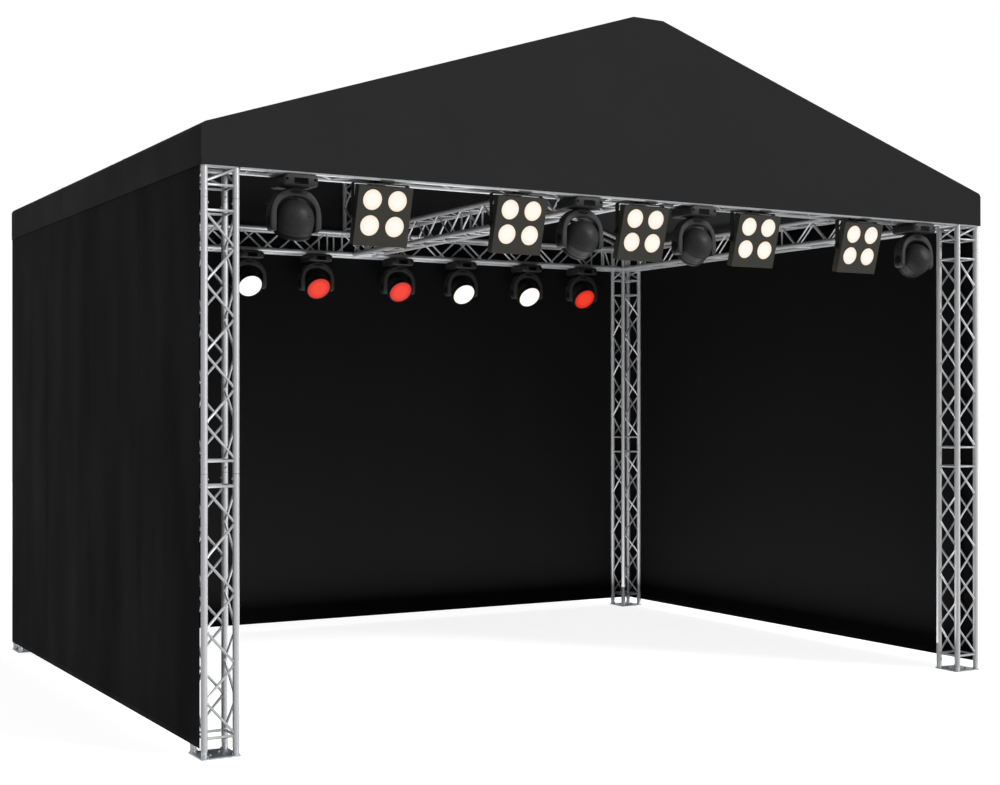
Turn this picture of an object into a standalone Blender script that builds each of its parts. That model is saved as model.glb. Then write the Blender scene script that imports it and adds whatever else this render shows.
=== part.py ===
"""Gable roof truss stage, in metres, +Z up.

Four box-truss towers on base plates carry a ring of box-truss beams at about 4.3 m. A beam down the
middle, two gable frames and a ridge beam carry a taut fabric roof with a deep valance, and three taut
walls hang inside the valance. Moving-head lights and four-lens floodlights hang below the beams.

The origin is the middle of the stage on the ground. +X is to the right seen from the front, +Y runs to
the back and the open front faces -Y.
"""

import math

import bmesh
import bpy
from mathutils import Vector

# Plan and heights
STAGE_WIDTH = 7.50  # tower axis to tower axis
STAGE_DEPTH = 5.70
TRUSS_TOP = 4.560
ROOF_TOP = 5.807
EAVE_HEIGHT = 4.590  # roof line above the edge of the cover
VALANCE_BOTTOM = 4.287
WALL_BOTTOM = 0.080

# Box truss
CHORD_SPACING = 0.240
CHORD_DIAMETER = 0.050
LACE_RADIUS = 0.0115
LACE_SEAT = 0.010  # how far a lace runs into its chord
LACE_OFFSET = 0.016  # each lace starts this far past its node
SEGMENT_INSET = 0.105  # first node from a joint
RING_INSET = 0.092  # square frame of rods near each joint
JOINT_REACH = 0.355  # from the axis of a corner or crossing to the joint of each leg
TOWER_SEGMENT = 2.0
TOWER_BAYS = 7
LONG_BEAM_BAYS = 7  # in each long segment of the front and rear beams
CROSSING_BAYS = 2  # in the stretch where the middle beam meets them
SHORT_BEAM_BAYS = 5  # in each half of the side, middle and ridge beams
LEG_INSET = 0.103  # from the top joint up to the crossed laces below the corner
LEG_RING_GAP = 0.015  # from those laces up to the corner's lower ring

# Base plates
PLATE_SIDE = 0.300
PLATE_THICKNESS = 0.010
STUB_DIAMETER = 0.046
STUB_SIDES = 6
TOWER_FOOT = 0.058

# Roof frame
RIDGE_HALF_WIDTH = 0.154
RAFTER_DIAMETER = 0.048
RAFTER_DROP = 0.008
RAFTER_REACH = 3.800
POST_DIAMETER = 0.040
KING_POST_BAYS = 3

# Cover and walls
COVER_THICKNESS = 0.003
COVER_STANDOFF = 0.005  # from the truss to the inside of the valance
EAVE_RADIUS = 0.050
EAVE_STEPS = 4
WALL_THICKNESS = 0.003
WALL_FRONT_SETBACK = 0.020  # side walls stop this far behind the front chords
WALL_TOP = 4.540

# Moving heads
INNER_HEAD_STEPS = (0.607, 0.567)  # from the middle floodlight to the front heads beside it
OUTER_HEAD_STEPS = (0.716, 0.723)  # from the outer floodlights to the front heads beyond them
FRONT_HEAD_TILTS = (120, 147, 147, 160)  # degrees down from level, past straight down
REAR_HEAD_PLACES = (-1.40, -0.58, 0.45, 1.29, 2.20, 3.00)
REAR_HEAD_TILT = 36
BASE_SIZE = (0.280, 0.300, 0.083)
BASE_TOP_DROP = 0.002  # below the beam
BASE_TOP_HALF_WIDTH = 0.118
BASE_SHOULDER = 0.024
BASE_CHAMFER = 0.012
DISPLAY_SIZE = (0.110, 0.052)  # of the display's recess in the base's front
DISPLAY_RECESS = 0.006
YOKE_GAP = 0.003
YOKE_HALF_WIDTH = 0.205
YOKE_HEIGHT = 0.252  # crown above the tilt axis
YOKE_INNER_HEIGHT = 0.184
YOKE_SPRINGING = 0.052  # height above the tilt axis where the arms' outer sides curve in
YOKE_INNER_SPRINGING = 0.106  # and their inner sides, above the turning bezel
YOKE_ARM_BELOW = 0.075
YOKE_DEPTH = 0.110
YOKE_ARCH_POWER = 2.8
YOKE_STEPS = 6
PAN_BOSS_RADIUS = 0.050
HEAD_RADIUS = 0.150
HEAD_SIDES = 10
HEAD_BAND = 0.030
HEAD_SHOULDER = (0.126, 0.085)  # radius and distance behind the tilt axis
HEAD_BACK = (0.078, 0.130)
BEZEL_RADIUS = 0.146
BEZEL_FRONT = 0.102
LENS_RADIUS = 0.139
LENS_RECESS = 0.006

# Four-lens floodlights
FLOOD_PITCH = 1.217
FLOOD_COUNT = 5
FLOOD_ROW_MIDDLE = 0.020  # the row stands a little to the right
FLOOD_TILT = 15.5
FLOOD_SIZE = (0.460, 0.110, 0.465)
FLOOD_STRAIGHT = 0.070
FLOOD_BACK_SHARE = 0.78
FLOOD_LENS_RADIUS = 0.080
FLOOD_LENS_SPACING = (0.212, 0.200)
FLOOD_LENS_RISE = 0.026  # the four lenses sit above the middle of the housing
FLOOD_LENS_DEPTH = 0.012
FLOOD_LENS_SIDES = 8
BRACKET_THICKNESS = 0.006
BRACKET_WIDTH = 0.050
BRACKET_BELOW = 0.030
SWEEP_CLEARANCE = 0.0025

# Hook clamps that hold every light on the lower chords
HOOK_INNER = 0.0318
HOOK_THICKNESS = 0.008
HOOK_WIDTH = 0.030
HOOK_CLEARANCE = 0.003
HOOK_PAIR_SPACING = 0.160  # between two hooks on one chord
HOOK_STEPS = 3
HOOK_START = math.radians(235)  # under the chord, clear of the fabric outside it
HOOK_END = math.radians(415)  # over the chord's inner side

GAP = 0.0003  # between pieces that touch
FABRIC_GAP = 0.0005
SMOOTH_ANGLE = math.radians(50)  # round pieces have at least eight sides

CHORD_RADIUS = CHORD_DIAMETER / 2
HALF_SPACING = CHORD_SPACING / 2
TRUSS_HALF = HALF_SPACING + CHORD_RADIUS
CORNER_X = STAGE_WIDTH / 2
CORNER_Y = STAGE_DEPTH / 2
BEAM_Z = TRUSS_TOP - TRUSS_HALF
BEAM_BOTTOM = BEAM_Z - TRUSS_HALF
LOWER_CHORD_Z = BEAM_Z - HALF_SPACING
LONG_BEAM = STAGE_WIDTH - 2 * (TRUSS_HALF + GAP)
SHORT_BEAM = STAGE_DEPTH - 2 * (TRUSS_HALF + GAP)
COVER_OUT = TRUSS_HALF + COVER_STANDOFF + COVER_THICKNESS
COVER_X = CORNER_X + COVER_OUT
COVER_Y = CORNER_Y + COVER_OUT
ROOF_SLOPE = (ROOF_TOP - EAVE_HEIGHT) / (COVER_X - RIDGE_HALF_WIDTH)
RIDGE_UNDERSIDE = ROOF_TOP - COVER_THICKNESS - FABRIC_GAP

scene_collection = bpy.context.scene.collection


def clear_scene():
    for obj in list(bpy.data.objects):
        bpy.data.objects.remove(obj, do_unlink=True)


def plain_material(name, colour, roughness, metallic=0.0):
    material = bpy.data.materials.new(name)
    material.use_nodes = True
    shader = material.node_tree.nodes["Principled BSDF"]
    shader.inputs["Base Color"].default_value = (*colour, 1.0)
    shader.inputs["Roughness"].default_value = roughness
    shader.inputs["Metallic"].default_value = metallic
    return material


def place(name, bm, material, location=(0, 0, 0), rotation=(0, 0, 0), parent=None, hidden=False):
    bmesh.ops.recalc_face_normals(bm, faces=bm.faces)
    mesh = bpy.data.meshes.new(name)
    bm.to_mesh(mesh)
    bm.free()
    mesh.shade_smooth()
    mesh.set_sharp_from_angle(angle=SMOOTH_ANGLE)
    mesh.materials.append(material)
    obj = bpy.data.objects.new(name, mesh)
    scene_collection.objects.link(obj)
    obj.location = location
    obj.rotation_euler = rotation
    obj.parent = parent
    if hidden:
        obj.hide_render = True
        obj.display_type = "WIRE"
    return obj


def boolean(obj, helper, operation):
    helper.parent = obj
    modifier = obj.modifiers.new(f"{operation.lower()} {helper.name}", "BOOLEAN")
    modifier.operation = operation
    modifier.solver = "EXACT"
    modifier.object = helper


def loft(bm, loops):
    """Closed solid through loops of points that hold the same count each."""
    rings = [[bm.verts.new(point) for point in loop] for loop in loops]
    count = len(rings[0])
    for lower, upper in zip(rings, rings[1:]):
        for i in range(count):
            j = (i + 1) % count
            bm.faces.new((lower[i], lower[j], upper[j], upper[i]))
    bm.faces.new(list(reversed(rings[0])))
    bm.faces.new(rings[-1])


def box(bm, low, high):
    (x0, y0, z0), (x1, y1, z1) = low, high
    corners = ((x0, y0), (x1, y0), (x1, y1), (x0, y1))
    loft(bm, [[(x, y, z) for x, y in corners] for z in (z0, z1)])


def tube(bm, start, end, radius, sides=8):
    """Prism with a flat side facing each axis; radius is measured to its flats."""
    start, end = Vector(start), Vector(end)
    turn = (end - start).to_track_quat("Z", "Y").to_matrix()
    corner = radius / math.cos(math.pi / sides)
    angles = [math.tau * (i + 0.5) / sides for i in range(sides)]
    section = [turn @ Vector((corner * math.cos(a), corner * math.sin(a), 0)) for a in angles]
    loft(bm, [[point + offset for offset in section] for point in (start, end)])


def extruded(bm, outline, depth):
    """Outline in X and Z, run along Y to half the depth each way."""
    loft(bm, [[(x, y, z) for x, z in outline] for y in (-depth / 2, depth / 2)])


def lace(bm, start, end, across, normal):
    """Three-sided rod between two chords, its ends cut square to `across`."""
    direction = (end - start).normalized()
    along = normal.cross(direction).normalized()
    if along.z < 0:
        along = -along
    section = [
        LACE_RADIUS * (math.cos(angle) * along + math.sin(angle) * normal)
        for angle in (0, math.tau / 3, -math.tau / 3)
    ]
    slid = [offset - direction * (offset.dot(across) / direction.dot(across)) for offset in section]
    loft(bm, [[point + offset for offset in slid] for point in (start, end)])


# A side of a truss that stands along its own Z: its first chord, the way across and the way out
BOX_SIDES = (
    (Vector((-1, 1, 0)), Vector((1, 0, 0)), Vector((0, 1, 0))),
    (Vector((1, -1, 0)), Vector((-1, 0, 0)), Vector((0, -1, 0))),
    (Vector((-1, -1, 0)), Vector((0, 1, 0)), Vector((-1, 0, 0))),
    (Vector((1, 1, 0)), Vector((0, -1, 0)), Vector((1, 0, 0))),
)
LADDER_SIDES = BOX_SIDES[1:2]


class TrussLacing:
    """Rods between the chords of a truss that stands along its own Z."""

    def __init__(self, sides=BOX_SIDES):
        self.bm = bmesh.new()
        self.sides = sides
        self.seat = CHORD_RADIUS - LACE_SEAT

    def rod(self, side, z0, z1):
        """One rod from z0 at the side's first chord to z1 at its second."""
        corner, across, normal = side
        first = corner * HALF_SPACING + across * self.seat
        second = corner * HALF_SPACING + across * (CHORD_SPACING - self.seat)
        lace(self.bm, first + Vector((0, 0, z0)), second + Vector((0, 0, z1)), across, normal)

    def ring(self, z):
        for side in self.sides:
            self.rod(side, z, z)

    def bays(self, start, end, count, lean=0):
        """A zigzag of `count` laces on each side; opposite sides cross when seen through, and an
        odd lean turns every lace the other way."""
        pitch = (end - start) / count
        for side in self.sides:
            for i in range(count):
                low = start + i * pitch + LACE_OFFSET
                high = start + (i + 1) * pitch - LACE_OFFSET
                ends = (low, high) if (i + lean) % 2 == 0 else (high, low)
                self.rod(side, *ends)

    def segment(self, start, length, count, rings=(True, True)):
        """Zigzags with a ring near each end that asks for one."""
        if rings[0]:
            self.ring(start + RING_INSET)
        self.bays(start + SEGMENT_INSET, start + length - SEGMENT_INSET, count)
        if rings[1]:
            self.ring(start + length - RING_INSET)


def chord_corners(sides):
    """The corners that the sides join, each once, as whole steps of half the spacing."""
    found = {}
    for corner, across, _ in sides:
        for point in (corner, corner + 2 * across):
            found[(round(point.x), round(point.y))] = None
    return list(found)


def truss(name, length, lacing, material, location, rotation=(0, 0, 0)):
    """Chords along the object's own Z, joined by the laces."""
    bm = bmesh.new()
    for column, row in chord_corners(lacing.sides):
        x, y = column * HALF_SPACING, row * HALF_SPACING
        tube(bm, (x, y, 0), (x, y, length), CHORD_RADIUS)
    obj = place(name, bm, material, location, rotation)
    laces = place(f"{name}.laces", lacing.bm, material, hidden=True)
    boolean(obj, laces, "UNION")
    return obj


def make_base_plate(name, x, y, material):
    bm = bmesh.new()
    half = PLATE_SIDE / 2
    box(bm, (-half, -half, 0), (half, half, PLATE_THICKNESS))
    plate = place(name, bm, material, (x, y, 0))
    stubs = bmesh.new()
    for sx in (-HALF_SPACING, HALF_SPACING):
        for sy in (-HALF_SPACING, HALF_SPACING):
            foot = (sx, sy, PLATE_THICKNESS / 2)
            tube(stubs, foot, (sx, sy, TOWER_FOOT - GAP), STUB_DIAMETER / 2, STUB_SIDES)
    boolean(plate, place(f"{name}.stubs", stubs, material, hidden=True), "UNION")


def make_tower(name, x, y, material):
    lacing = TrussLacing()
    for i in range(2):
        lacing.segment(i * TOWER_SEGMENT, TOWER_SEGMENT, TOWER_BAYS)
    joint = 2 * TOWER_SEGMENT
    lacing.ring(joint + RING_INSET)
    corner = LOWER_CHORD_Z - TOWER_FOOT
    lacing.bays(joint + LEG_INSET, corner - LEG_RING_GAP, 1, lean=1)
    lacing.ring(corner)
    lacing.ring(corner + CHORD_SPACING)
    truss(name, TRUSS_TOP - TOWER_FOOT, lacing, material, (x, y, TOWER_FOOT))


def beam_segments(length, crossing):
    """Start, length and bays of each segment between the bare legs beside the towers."""
    leg = JOINT_REACH - TRUSS_HALF - GAP
    if not crossing:
        half = length / 2 - leg
        return ((leg, half, SHORT_BEAM_BAYS), (leg + half, half, SHORT_BEAM_BAYS))
    joint = length / 2 - JOINT_REACH
    return (
        (leg, joint - leg, LONG_BEAM_BAYS),
        (joint, 2 * JOINT_REACH, CROSSING_BAYS),
        (joint + 2 * JOINT_REACH, joint - leg, LONG_BEAM_BAYS),
    )


def beam_lacing(segments, sides=BOX_SIDES):
    """Segments with a ring on each side of every joint between two of them."""
    lacing = TrussLacing(sides)
    for i, (start, length, bays) in enumerate(segments):
        lacing.segment(start, length, bays, (i > 0, i < len(segments) - 1))
    return lacing


def make_beams(material):
    for name, side, turn in (
        ("front_beam", -1, (0, math.pi / 2, 0)),
        ("rear_beam", 1, (0, math.pi / 2, math.pi)),
    ):
        lacing = beam_lacing(beam_segments(LONG_BEAM, True))
        start = (side * LONG_BEAM / 2, side * CORNER_Y, BEAM_Z)
        truss(name, LONG_BEAM, lacing, material, start, turn)
    turn = (-math.pi / 2, 0, 0)
    for name, x, z, sides in (
        ("left_beam", -CORNER_X, BEAM_Z, BOX_SIDES),
        ("right_beam", CORNER_X, BEAM_Z, BOX_SIDES),
        ("middle_beam", 0, BEAM_Z, BOX_SIDES),
        ("ridge_beam", 0, RIDGE_UNDERSIDE - TRUSS_HALF, LADDER_SIDES),
    ):
        lacing = beam_lacing(beam_segments(SHORT_BEAM, False), sides)
        truss(name, SHORT_BEAM, lacing, material, (x, -SHORT_BEAM / 2, z), turn)


def rafter_axis(x):
    """Height of a rafter's axis above the ground at a distance x from the ridge."""
    rise = math.hypot(1, ROOF_SLOPE)
    under = ROOF_TOP - ROOF_SLOPE * (x - RIDGE_HALF_WIDTH) - COVER_THICKNESS * rise
    return under - RAFTER_DROP - RAFTER_DIAMETER / 2 * rise


def make_gable_frame(name, y, material):
    """King post, two pairs of rafters and their posts, standing on the end beam."""
    base = TRUSS_TOP + GAP
    top = RIDGE_UNDERSIDE - base
    lacing = TrussLacing()
    lacing.segment(0, top, KING_POST_BAYS, (False, False))
    post = truss(name, top, lacing, material, (0, y, base))
    wing_tubes = bmesh.new()
    foot_tubes = bmesh.new()
    start = HALF_SPACING + CHORD_RADIUS - LACE_SEAT
    foot = CORNER_X - HALF_SPACING
    for side in (-1, 1):
        for row in (-HALF_SPACING, HALF_SPACING):
            inner = (side * start, row, rafter_axis(start) - base)
            outer = (side * RAFTER_REACH, row, rafter_axis(RAFTER_REACH) - base)
            tube(wing_tubes, inner, outer, RAFTER_DIAMETER / 2)
            head = (side * foot, row, rafter_axis(foot) - base)
            tube(foot_tubes, (side * foot, row, 0), head, POST_DIAMETER / 2)
    boolean(post, place(f"{name}.rafters", wing_tubes, material, hidden=True), "UNION")
    boolean(post, place(f"{name}.feet", foot_tubes, material, hidden=True), "UNION")


def cover_outline(inset):
    """Half of the roof's cross-section from the ridge to the valance's edge, moved in by `inset`."""
    slope = math.atan(ROOF_SLOPE)
    ridge = RIDGE_HALF_WIDTH - inset * math.tan(slope / 2)
    radius = EAVE_RADIUS - inset
    turn = math.pi / 2 - slope
    reach = EAVE_RADIUS * math.tan(turn / 2)
    centre = (COVER_X - EAVE_RADIUS, EAVE_HEIGHT - reach)
    angles = [math.pi / 2 - slope - turn * i / EAVE_STEPS for i in range(EAVE_STEPS + 1)]
    eave = [(centre[0] + radius * math.cos(a), centre[1] + radius * math.sin(a)) for a in angles]
    return [(ridge, ROOF_TOP - inset), *eave, (COVER_X - inset, VALANCE_BOTTOM)]


def make_cover(material):
    """Roof, gables and valance as one shell, open below."""
    bm = bmesh.new()
    shells = []
    for inset in (0, COVER_THICKNESS):
        half = cover_outline(inset)
        outline = [(-x, z) for x, z in reversed(half)] + half
        y = COVER_Y - inset
        ends = [[bm.verts.new((x, side * y, z)) for x, z in outline] for side in (-1, 1)]
        for end in ends:
            bm.faces.new(end)
        for i in range(len(outline) - 1):
            bm.faces.new((ends[0][i], ends[0][i + 1], ends[1][i + 1], ends[1][i]))
        shells.append([ends[0][0], ends[0][-1], ends[1][-1], ends[1][0]])
    outer, inner = shells
    for i in range(4):
        j = (i + 1) % 4
        bm.faces.new((outer[i], outer[j], inner[j], inner[i]))
    place("roof_cover", bm, material)


def make_walls(material):
    inner = TRUSS_HALF + FABRIC_GAP
    outer = inner + WALL_THICKNESS
    front = -CORNER_Y - HALF_SPACING + WALL_FRONT_SETBACK
    for name, side in (("left_wall", -1), ("right_wall", 1)):
        bm = bmesh.new()
        faces = sorted((side * (CORNER_X + inner), side * (CORNER_X + outer)))
        box(bm, (faces[0], front, WALL_BOTTOM), (faces[1], CORNER_Y + outer, WALL_TOP))
        place(name, bm, material)
    bm = bmesh.new()
    reach = CORNER_X + inner - FABRIC_GAP
    box(bm, (-reach, CORNER_Y + inner, WALL_BOTTOM), (reach, CORNER_Y + outer, WALL_TOP))
    place("rear_wall", bm, material)


def blocked_stretches(row, turned):
    """Stretches of a lower chord, in X, where its laces or rings leave no room for a hook. A beam
    that is turned half round has its rows and its run the other way."""
    way = -1 if turned else 1
    first_node = 0 if way * row > 0 else 1
    stretches = []
    seat = CHORD_RADIUS - LACE_SEAT
    hook = HOOK_WIDTH / 2 + HOOK_CLEARANCE
    for start, length, bays in beam_segments(LONG_BEAM, True):
        low, high = start - LONG_BEAM / 2, start + length - LONG_BEAM / 2
        pitch = (length - 2 * SEGMENT_INSET) / bays
        slope = (pitch - 2 * LACE_OFFSET) / (CHORD_SPACING - 2 * seat)
        reach = (HOOK_INNER + HOOK_THICKNESS - seat) * slope
        lace = LACE_OFFSET + reach + LACE_RADIUS * math.hypot(1, slope)
        for ring in (low + RING_INSET, high - RING_INSET):
            stretches.append((ring - LACE_RADIUS - hook, ring + LACE_RADIUS + hook))
        for node in range(first_node, bays + 1, 2):
            middle = low + SEGMENT_INSET + node * pitch
            stretches.append((middle - lace - hook, middle + lace + hook))
    return [tuple(sorted((way * low, way * high))) for low, high in stretches]


def free_place(x, row, turned):
    """The place nearest to x where a hook has room on that lower chord of a beam."""
    stretches = blocked_stretches(row, turned)
    places = [x] + [end for stretch in stretches for end in stretch]
    free = [place for place in places if not any(low < place < high for low, high in stretches)]
    return min(free, key=lambda place: abs(place - x))


def hook_pair(x, front):
    """Place and chord row of a light's hooks: one on each chord of the front beam, or both on
    the front chord of the rear beam, which is the front beam turned half round."""
    if front:
        return [(free_place(x, row, False), row) for row in (-1, 1)]
    return [(free_place(x + side * HOOK_PAIR_SPACING / 2, -1, True), -1) for side in (-1, 1)]


def hooks(bm, pair, origin):
    """Arcs that grip the lower chords from below and from their inner sides, seen from the origin."""
    angles = [HOOK_START + (HOOK_END - HOOK_START) * i / HOOK_STEPS for i in range(HOOK_STEPS + 1)]
    origin_x, origin_y, origin_z = origin
    for hook_x, row in pair:
        middle = hook_x - origin_x
        chord_y = row * HALF_SPACING - origin_y
        inner = [(HOOK_INNER * math.cos(a), HOOK_INNER * math.sin(a)) for a in angles]
        outer_radius = HOOK_INNER + HOOK_THICKNESS
        outer = [(outer_radius * math.cos(a), outer_radius * math.sin(a)) for a in reversed(angles)]
        loops = [
            [
                (px, chord_y - row * y, LOWER_CHORD_Z - origin_z + z)
                for y, z in inner + outer
            ]
            for px in (middle - HOOK_WIDTH / 2, middle + HOOK_WIDTH / 2)
        ]
        loft(bm, loops)


def make_head_base(name, x, y, front, material):
    top = BEAM_BOTTOM - BASE_TOP_DROP
    width, depth, height = BASE_SIZE
    half = width / 2
    right = [
        (BASE_TOP_HALF_WIDTH, 0),
        (half, -BASE_SHOULDER),
        (half, -height + BASE_CHAMFER),
        (half - BASE_CHAMFER, -height),
    ]
    outline = right + [(-px, pz) for px, pz in reversed(right)]
    bm = bmesh.new()
    extruded(bm, outline, depth)
    hang = 0 if front else -HALF_SPACING
    base = place(name, bm, material, (x, y, top))
    clamps = bmesh.new()
    hooks(clamps, hook_pair(x, front), (x, hang, top))
    boolean(base, place(f"{name}.hooks", clamps, material, hidden=True), "UNION")
    recess = bmesh.new()
    half_x, half_z = DISPLAY_SIZE[0] / 2, DISPLAY_SIZE[1] / 2
    low = (-half_x, -depth / 2 - DISPLAY_RECESS, -height / 2 - half_z)
    high = (half_x, -depth / 2 + DISPLAY_RECESS, -height / 2 + half_z)
    box(recess, low, high)
    boolean(base, place(f"{name}.display", recess, material, hidden=True), "DIFFERENCE")


def arch(half_width, springing, height):
    """Half a superellipse, from the right springing over the crown to the left one."""
    points = []
    for i in range(YOKE_STEPS + 1):
        angle = math.pi * i / YOKE_STEPS
        c, s = math.cos(angle), math.sin(angle)
        px = half_width * math.copysign(abs(c) ** (2 / YOKE_ARCH_POWER), c)
        rise = (height - springing) * abs(s) ** (2 / YOKE_ARCH_POWER)
        points.append((px, springing + rise))
    return points


def make_yoke(name, x, y, material):
    axis_z = BEAM_BOTTOM - BASE_TOP_DROP - BASE_SIZE[2] - YOKE_GAP - YOKE_HEIGHT
    inner_half = HEAD_RADIUS * math.cos(math.pi / HEAD_SIDES) + FABRIC_GAP
    outer = arch(YOKE_HALF_WIDTH, YOKE_SPRINGING, YOKE_HEIGHT)
    inner = arch(inner_half, YOKE_INNER_SPRINGING, YOKE_INNER_HEIGHT)
    toe = (YOKE_HALF_WIDTH + inner_half) / 2
    outline = [
        *outer,
        (-YOKE_HALF_WIDTH, -YOKE_ARM_BELOW / 2),
        (-toe, -YOKE_ARM_BELOW),
        (-inner_half, -YOKE_ARM_BELOW),
        *reversed(inner),
        (inner_half, -YOKE_ARM_BELOW),
        (toe, -YOKE_ARM_BELOW),
        (YOKE_HALF_WIDTH, -YOKE_ARM_BELOW / 2),
    ]
    bm = bmesh.new()
    extruded(bm, outline, YOKE_DEPTH)
    yoke = place(name, bm, material, (x, y, axis_z))
    boss = bmesh.new()
    crown = YOKE_HEIGHT - YOKE_GAP
    tube(boss, (0, 0, crown), (0, 0, YOKE_HEIGHT + YOKE_GAP - GAP), PAN_BOSS_RADIUS)
    boolean(yoke, place(f"{name}.boss", boss, material, hidden=True), "UNION")
    return yoke


def make_head(name, yoke, tilt, material):
    """Round body turned about the light's axis, which is the object's own -Y."""
    profile = (
        (HEAD_BACK[0], -HEAD_BACK[1]),
        (HEAD_SHOULDER[0], -HEAD_SHOULDER[1]),
        (HEAD_RADIUS, -HEAD_BAND),
        (HEAD_RADIUS, HEAD_BAND),
        (BEZEL_RADIUS, BEZEL_FRONT),
        (LENS_RADIUS, BEZEL_FRONT),
        (LENS_RADIUS, BEZEL_FRONT - LENS_RECESS),
    )
    angles = [math.tau * (i + 0.5) / HEAD_SIDES for i in range(HEAD_SIDES)]
    bm = bmesh.new()
    loft(bm, [[(r * math.cos(a), -forward, r * math.sin(a)) for a in angles] for r, forward in profile])
    return place(name, bm, material, (0, 0, 0), (tilt, 0, 0), parent=yoke)


def make_moving_head(name, x, front, tilt, materials):
    y = -CORNER_Y if front else CORNER_Y - HALF_SPACING
    make_head_base(f"{name}_base", x, y, front, materials["moulded housing"])
    yoke = make_yoke(f"{name}_yoke", x, y, materials["moulded yoke"])
    make_head(f"{name}_head", yoke, math.radians(tilt), materials["moulded housing"])


def make_flood(name, x, y, materials):
    width, depth, height = FLOOD_SIZE
    plate_low = BEAM_BOTTOM - BASE_TOP_DROP - BRACKET_THICKNESS
    pivot_z = plate_low - math.hypot(height / 2, depth / 2) - SWEEP_CLEARANCE
    top = plate_low - pivot_z + BRACKET_THICKNESS
    inner = width / 2 + GAP
    outer = inner + BRACKET_THICKNESS
    outline = [
        (outer, -BRACKET_BELOW),
        (outer, top - BRACKET_THICKNESS / 4),
        (-outer, top - BRACKET_THICKNESS / 4),
        (-outer, -BRACKET_BELOW),
        (-inner, -BRACKET_BELOW),
        (-inner, top - BRACKET_THICKNESS * 3 / 4),
        (inner, top - BRACKET_THICKNESS * 3 / 4),
        (inner, -BRACKET_BELOW),
    ]
    bm = bmesh.new()
    extruded(bm, outline, BRACKET_WIDTH)
    bracket = place(f"{name}_bracket", bm, materials["painted bracket"], (x, y, pivot_z))
    plate = bmesh.new()
    half = HALF_SPACING + CHORD_RADIUS
    pair = hook_pair(x, True)
    hook_places = [hook_x - x for hook_x, row in pair]
    low_x = min(hook_places) - HOOK_WIDTH
    high_x = max(hook_places) + HOOK_WIDTH
    box(plate, (low_x, -half, top - BRACKET_THICKNESS), (high_x, half, top))
    clamps = bmesh.new()
    hooks(clamps, pair, (x, 0, pivot_z))
    for part_name, part in (("plate", plate), ("hooks", clamps)):
        helper = place(f"{name}.{part_name}", part, materials["painted bracket"], hidden=True)
        boolean(bracket, helper, "UNION")

    bm = bmesh.new()
    loops = []
    for forward, share in (
        (depth / 2, 1.0),
        (depth / 2 - FLOOD_STRAIGHT, 1.0),
        (-depth / 2, FLOOD_BACK_SHARE),
    ):
        half_x, half_z = width / 2 * share, height / 2 * share
        corners = ((-half_x, -half_z), (half_x, -half_z), (half_x, half_z), (-half_x, half_z))
        loops.append([(cx, -forward, cz) for cx, cz in corners])
    loft(bm, loops)
    tilt = (math.radians(FLOOD_TILT), 0, 0)
    housing = place(f"{name}_housing", bm, materials["painted housing"], (0, 0, 0), tilt, bracket)
    wells = bmesh.new()
    front = -depth / 2
    for column in (-0.5, 0.5):
        for row in (-0.5, 0.5):
            lens_x = column * FLOOD_LENS_SPACING[0]
            lens_z = row * FLOOD_LENS_SPACING[1] + FLOOD_LENS_RISE
            ends = [(lens_x, front + step, lens_z) for step in (-FLOOD_LENS_DEPTH, FLOOD_LENS_DEPTH)]
            tube(wells, *ends, FLOOD_LENS_RADIUS, FLOOD_LENS_SIDES)
    helper = place(f"{name}.wells", wells, materials["painted housing"], hidden=True)
    boolean(housing, helper, "DIFFERENCE")


def main():
    clear_scene()
    materials = {
        "mill aluminium": plain_material("mill aluminium", (0.62, 0.63, 0.64), 0.35, 1.0),
        "zinc plate": plain_material("zinc plate", (0.45, 0.46, 0.47), 0.45, 1.0),
        "coated fabric": plain_material("coated fabric", (0.026, 0.026, 0.027), 0.6),
        "moulded housing": plain_material("moulded housing", (0.024, 0.024, 0.025), 0.5),
        "moulded yoke": plain_material("moulded yoke", (0.05, 0.05, 0.051), 0.5),
        "painted housing": plain_material("painted housing", (0.033, 0.032, 0.028), 0.55),
        "painted bracket": plain_material("painted bracket", (0.02, 0.02, 0.02), 0.5),
    }
    metal = materials["mill aluminium"]
    fabric = materials["coated fabric"]
    for row, y in (("front", -CORNER_Y), ("rear", CORNER_Y)):
        for column, x in (("left", -CORNER_X), ("right", CORNER_X)):
            make_base_plate(f"{row}_{column}_base_plate", x, y, materials["zinc plate"])
            make_tower(f"{row}_{column}_tower", x, y, metal)
        make_gable_frame(f"{row}_gable_frame", y, metal)
    make_beams(metal)
    make_cover(fabric)
    make_walls(fabric)
    flood_reach = FLOOD_PITCH * (FLOOD_COUNT - 1) / 2
    left_flood = FLOOD_ROW_MIDDLE - flood_reach
    right_flood = FLOOD_ROW_MIDDLE + flood_reach
    for i in range(FLOOD_COUNT):
        make_flood(f"flood_{i + 1}", left_flood + i * FLOOD_PITCH, -CORNER_Y, materials)
    front_places = (
        left_flood - OUTER_HEAD_STEPS[0],
        FLOOD_ROW_MIDDLE - INNER_HEAD_STEPS[0],
        FLOOD_ROW_MIDDLE + INNER_HEAD_STEPS[1],
        right_flood + OUTER_HEAD_STEPS[1],
    )
    for i, (x, tilt) in enumerate(zip(front_places, FRONT_HEAD_TILTS), 1):
        make_moving_head(f"front_light_{i}", x, True, tilt, materials)
    for i, x in enumerate(REAR_HEAD_PLACES, 1):
        make_moving_head(f"rear_light_{i}", x, False, REAR_HEAD_TILT, materials)


main()
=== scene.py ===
"""Gable roof truss stage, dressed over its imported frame.

Lengths are in metres. Each body is worked out as whole arrays of points, and takes the place of the
frame's plain solid of the same name.
"""

import math

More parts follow.
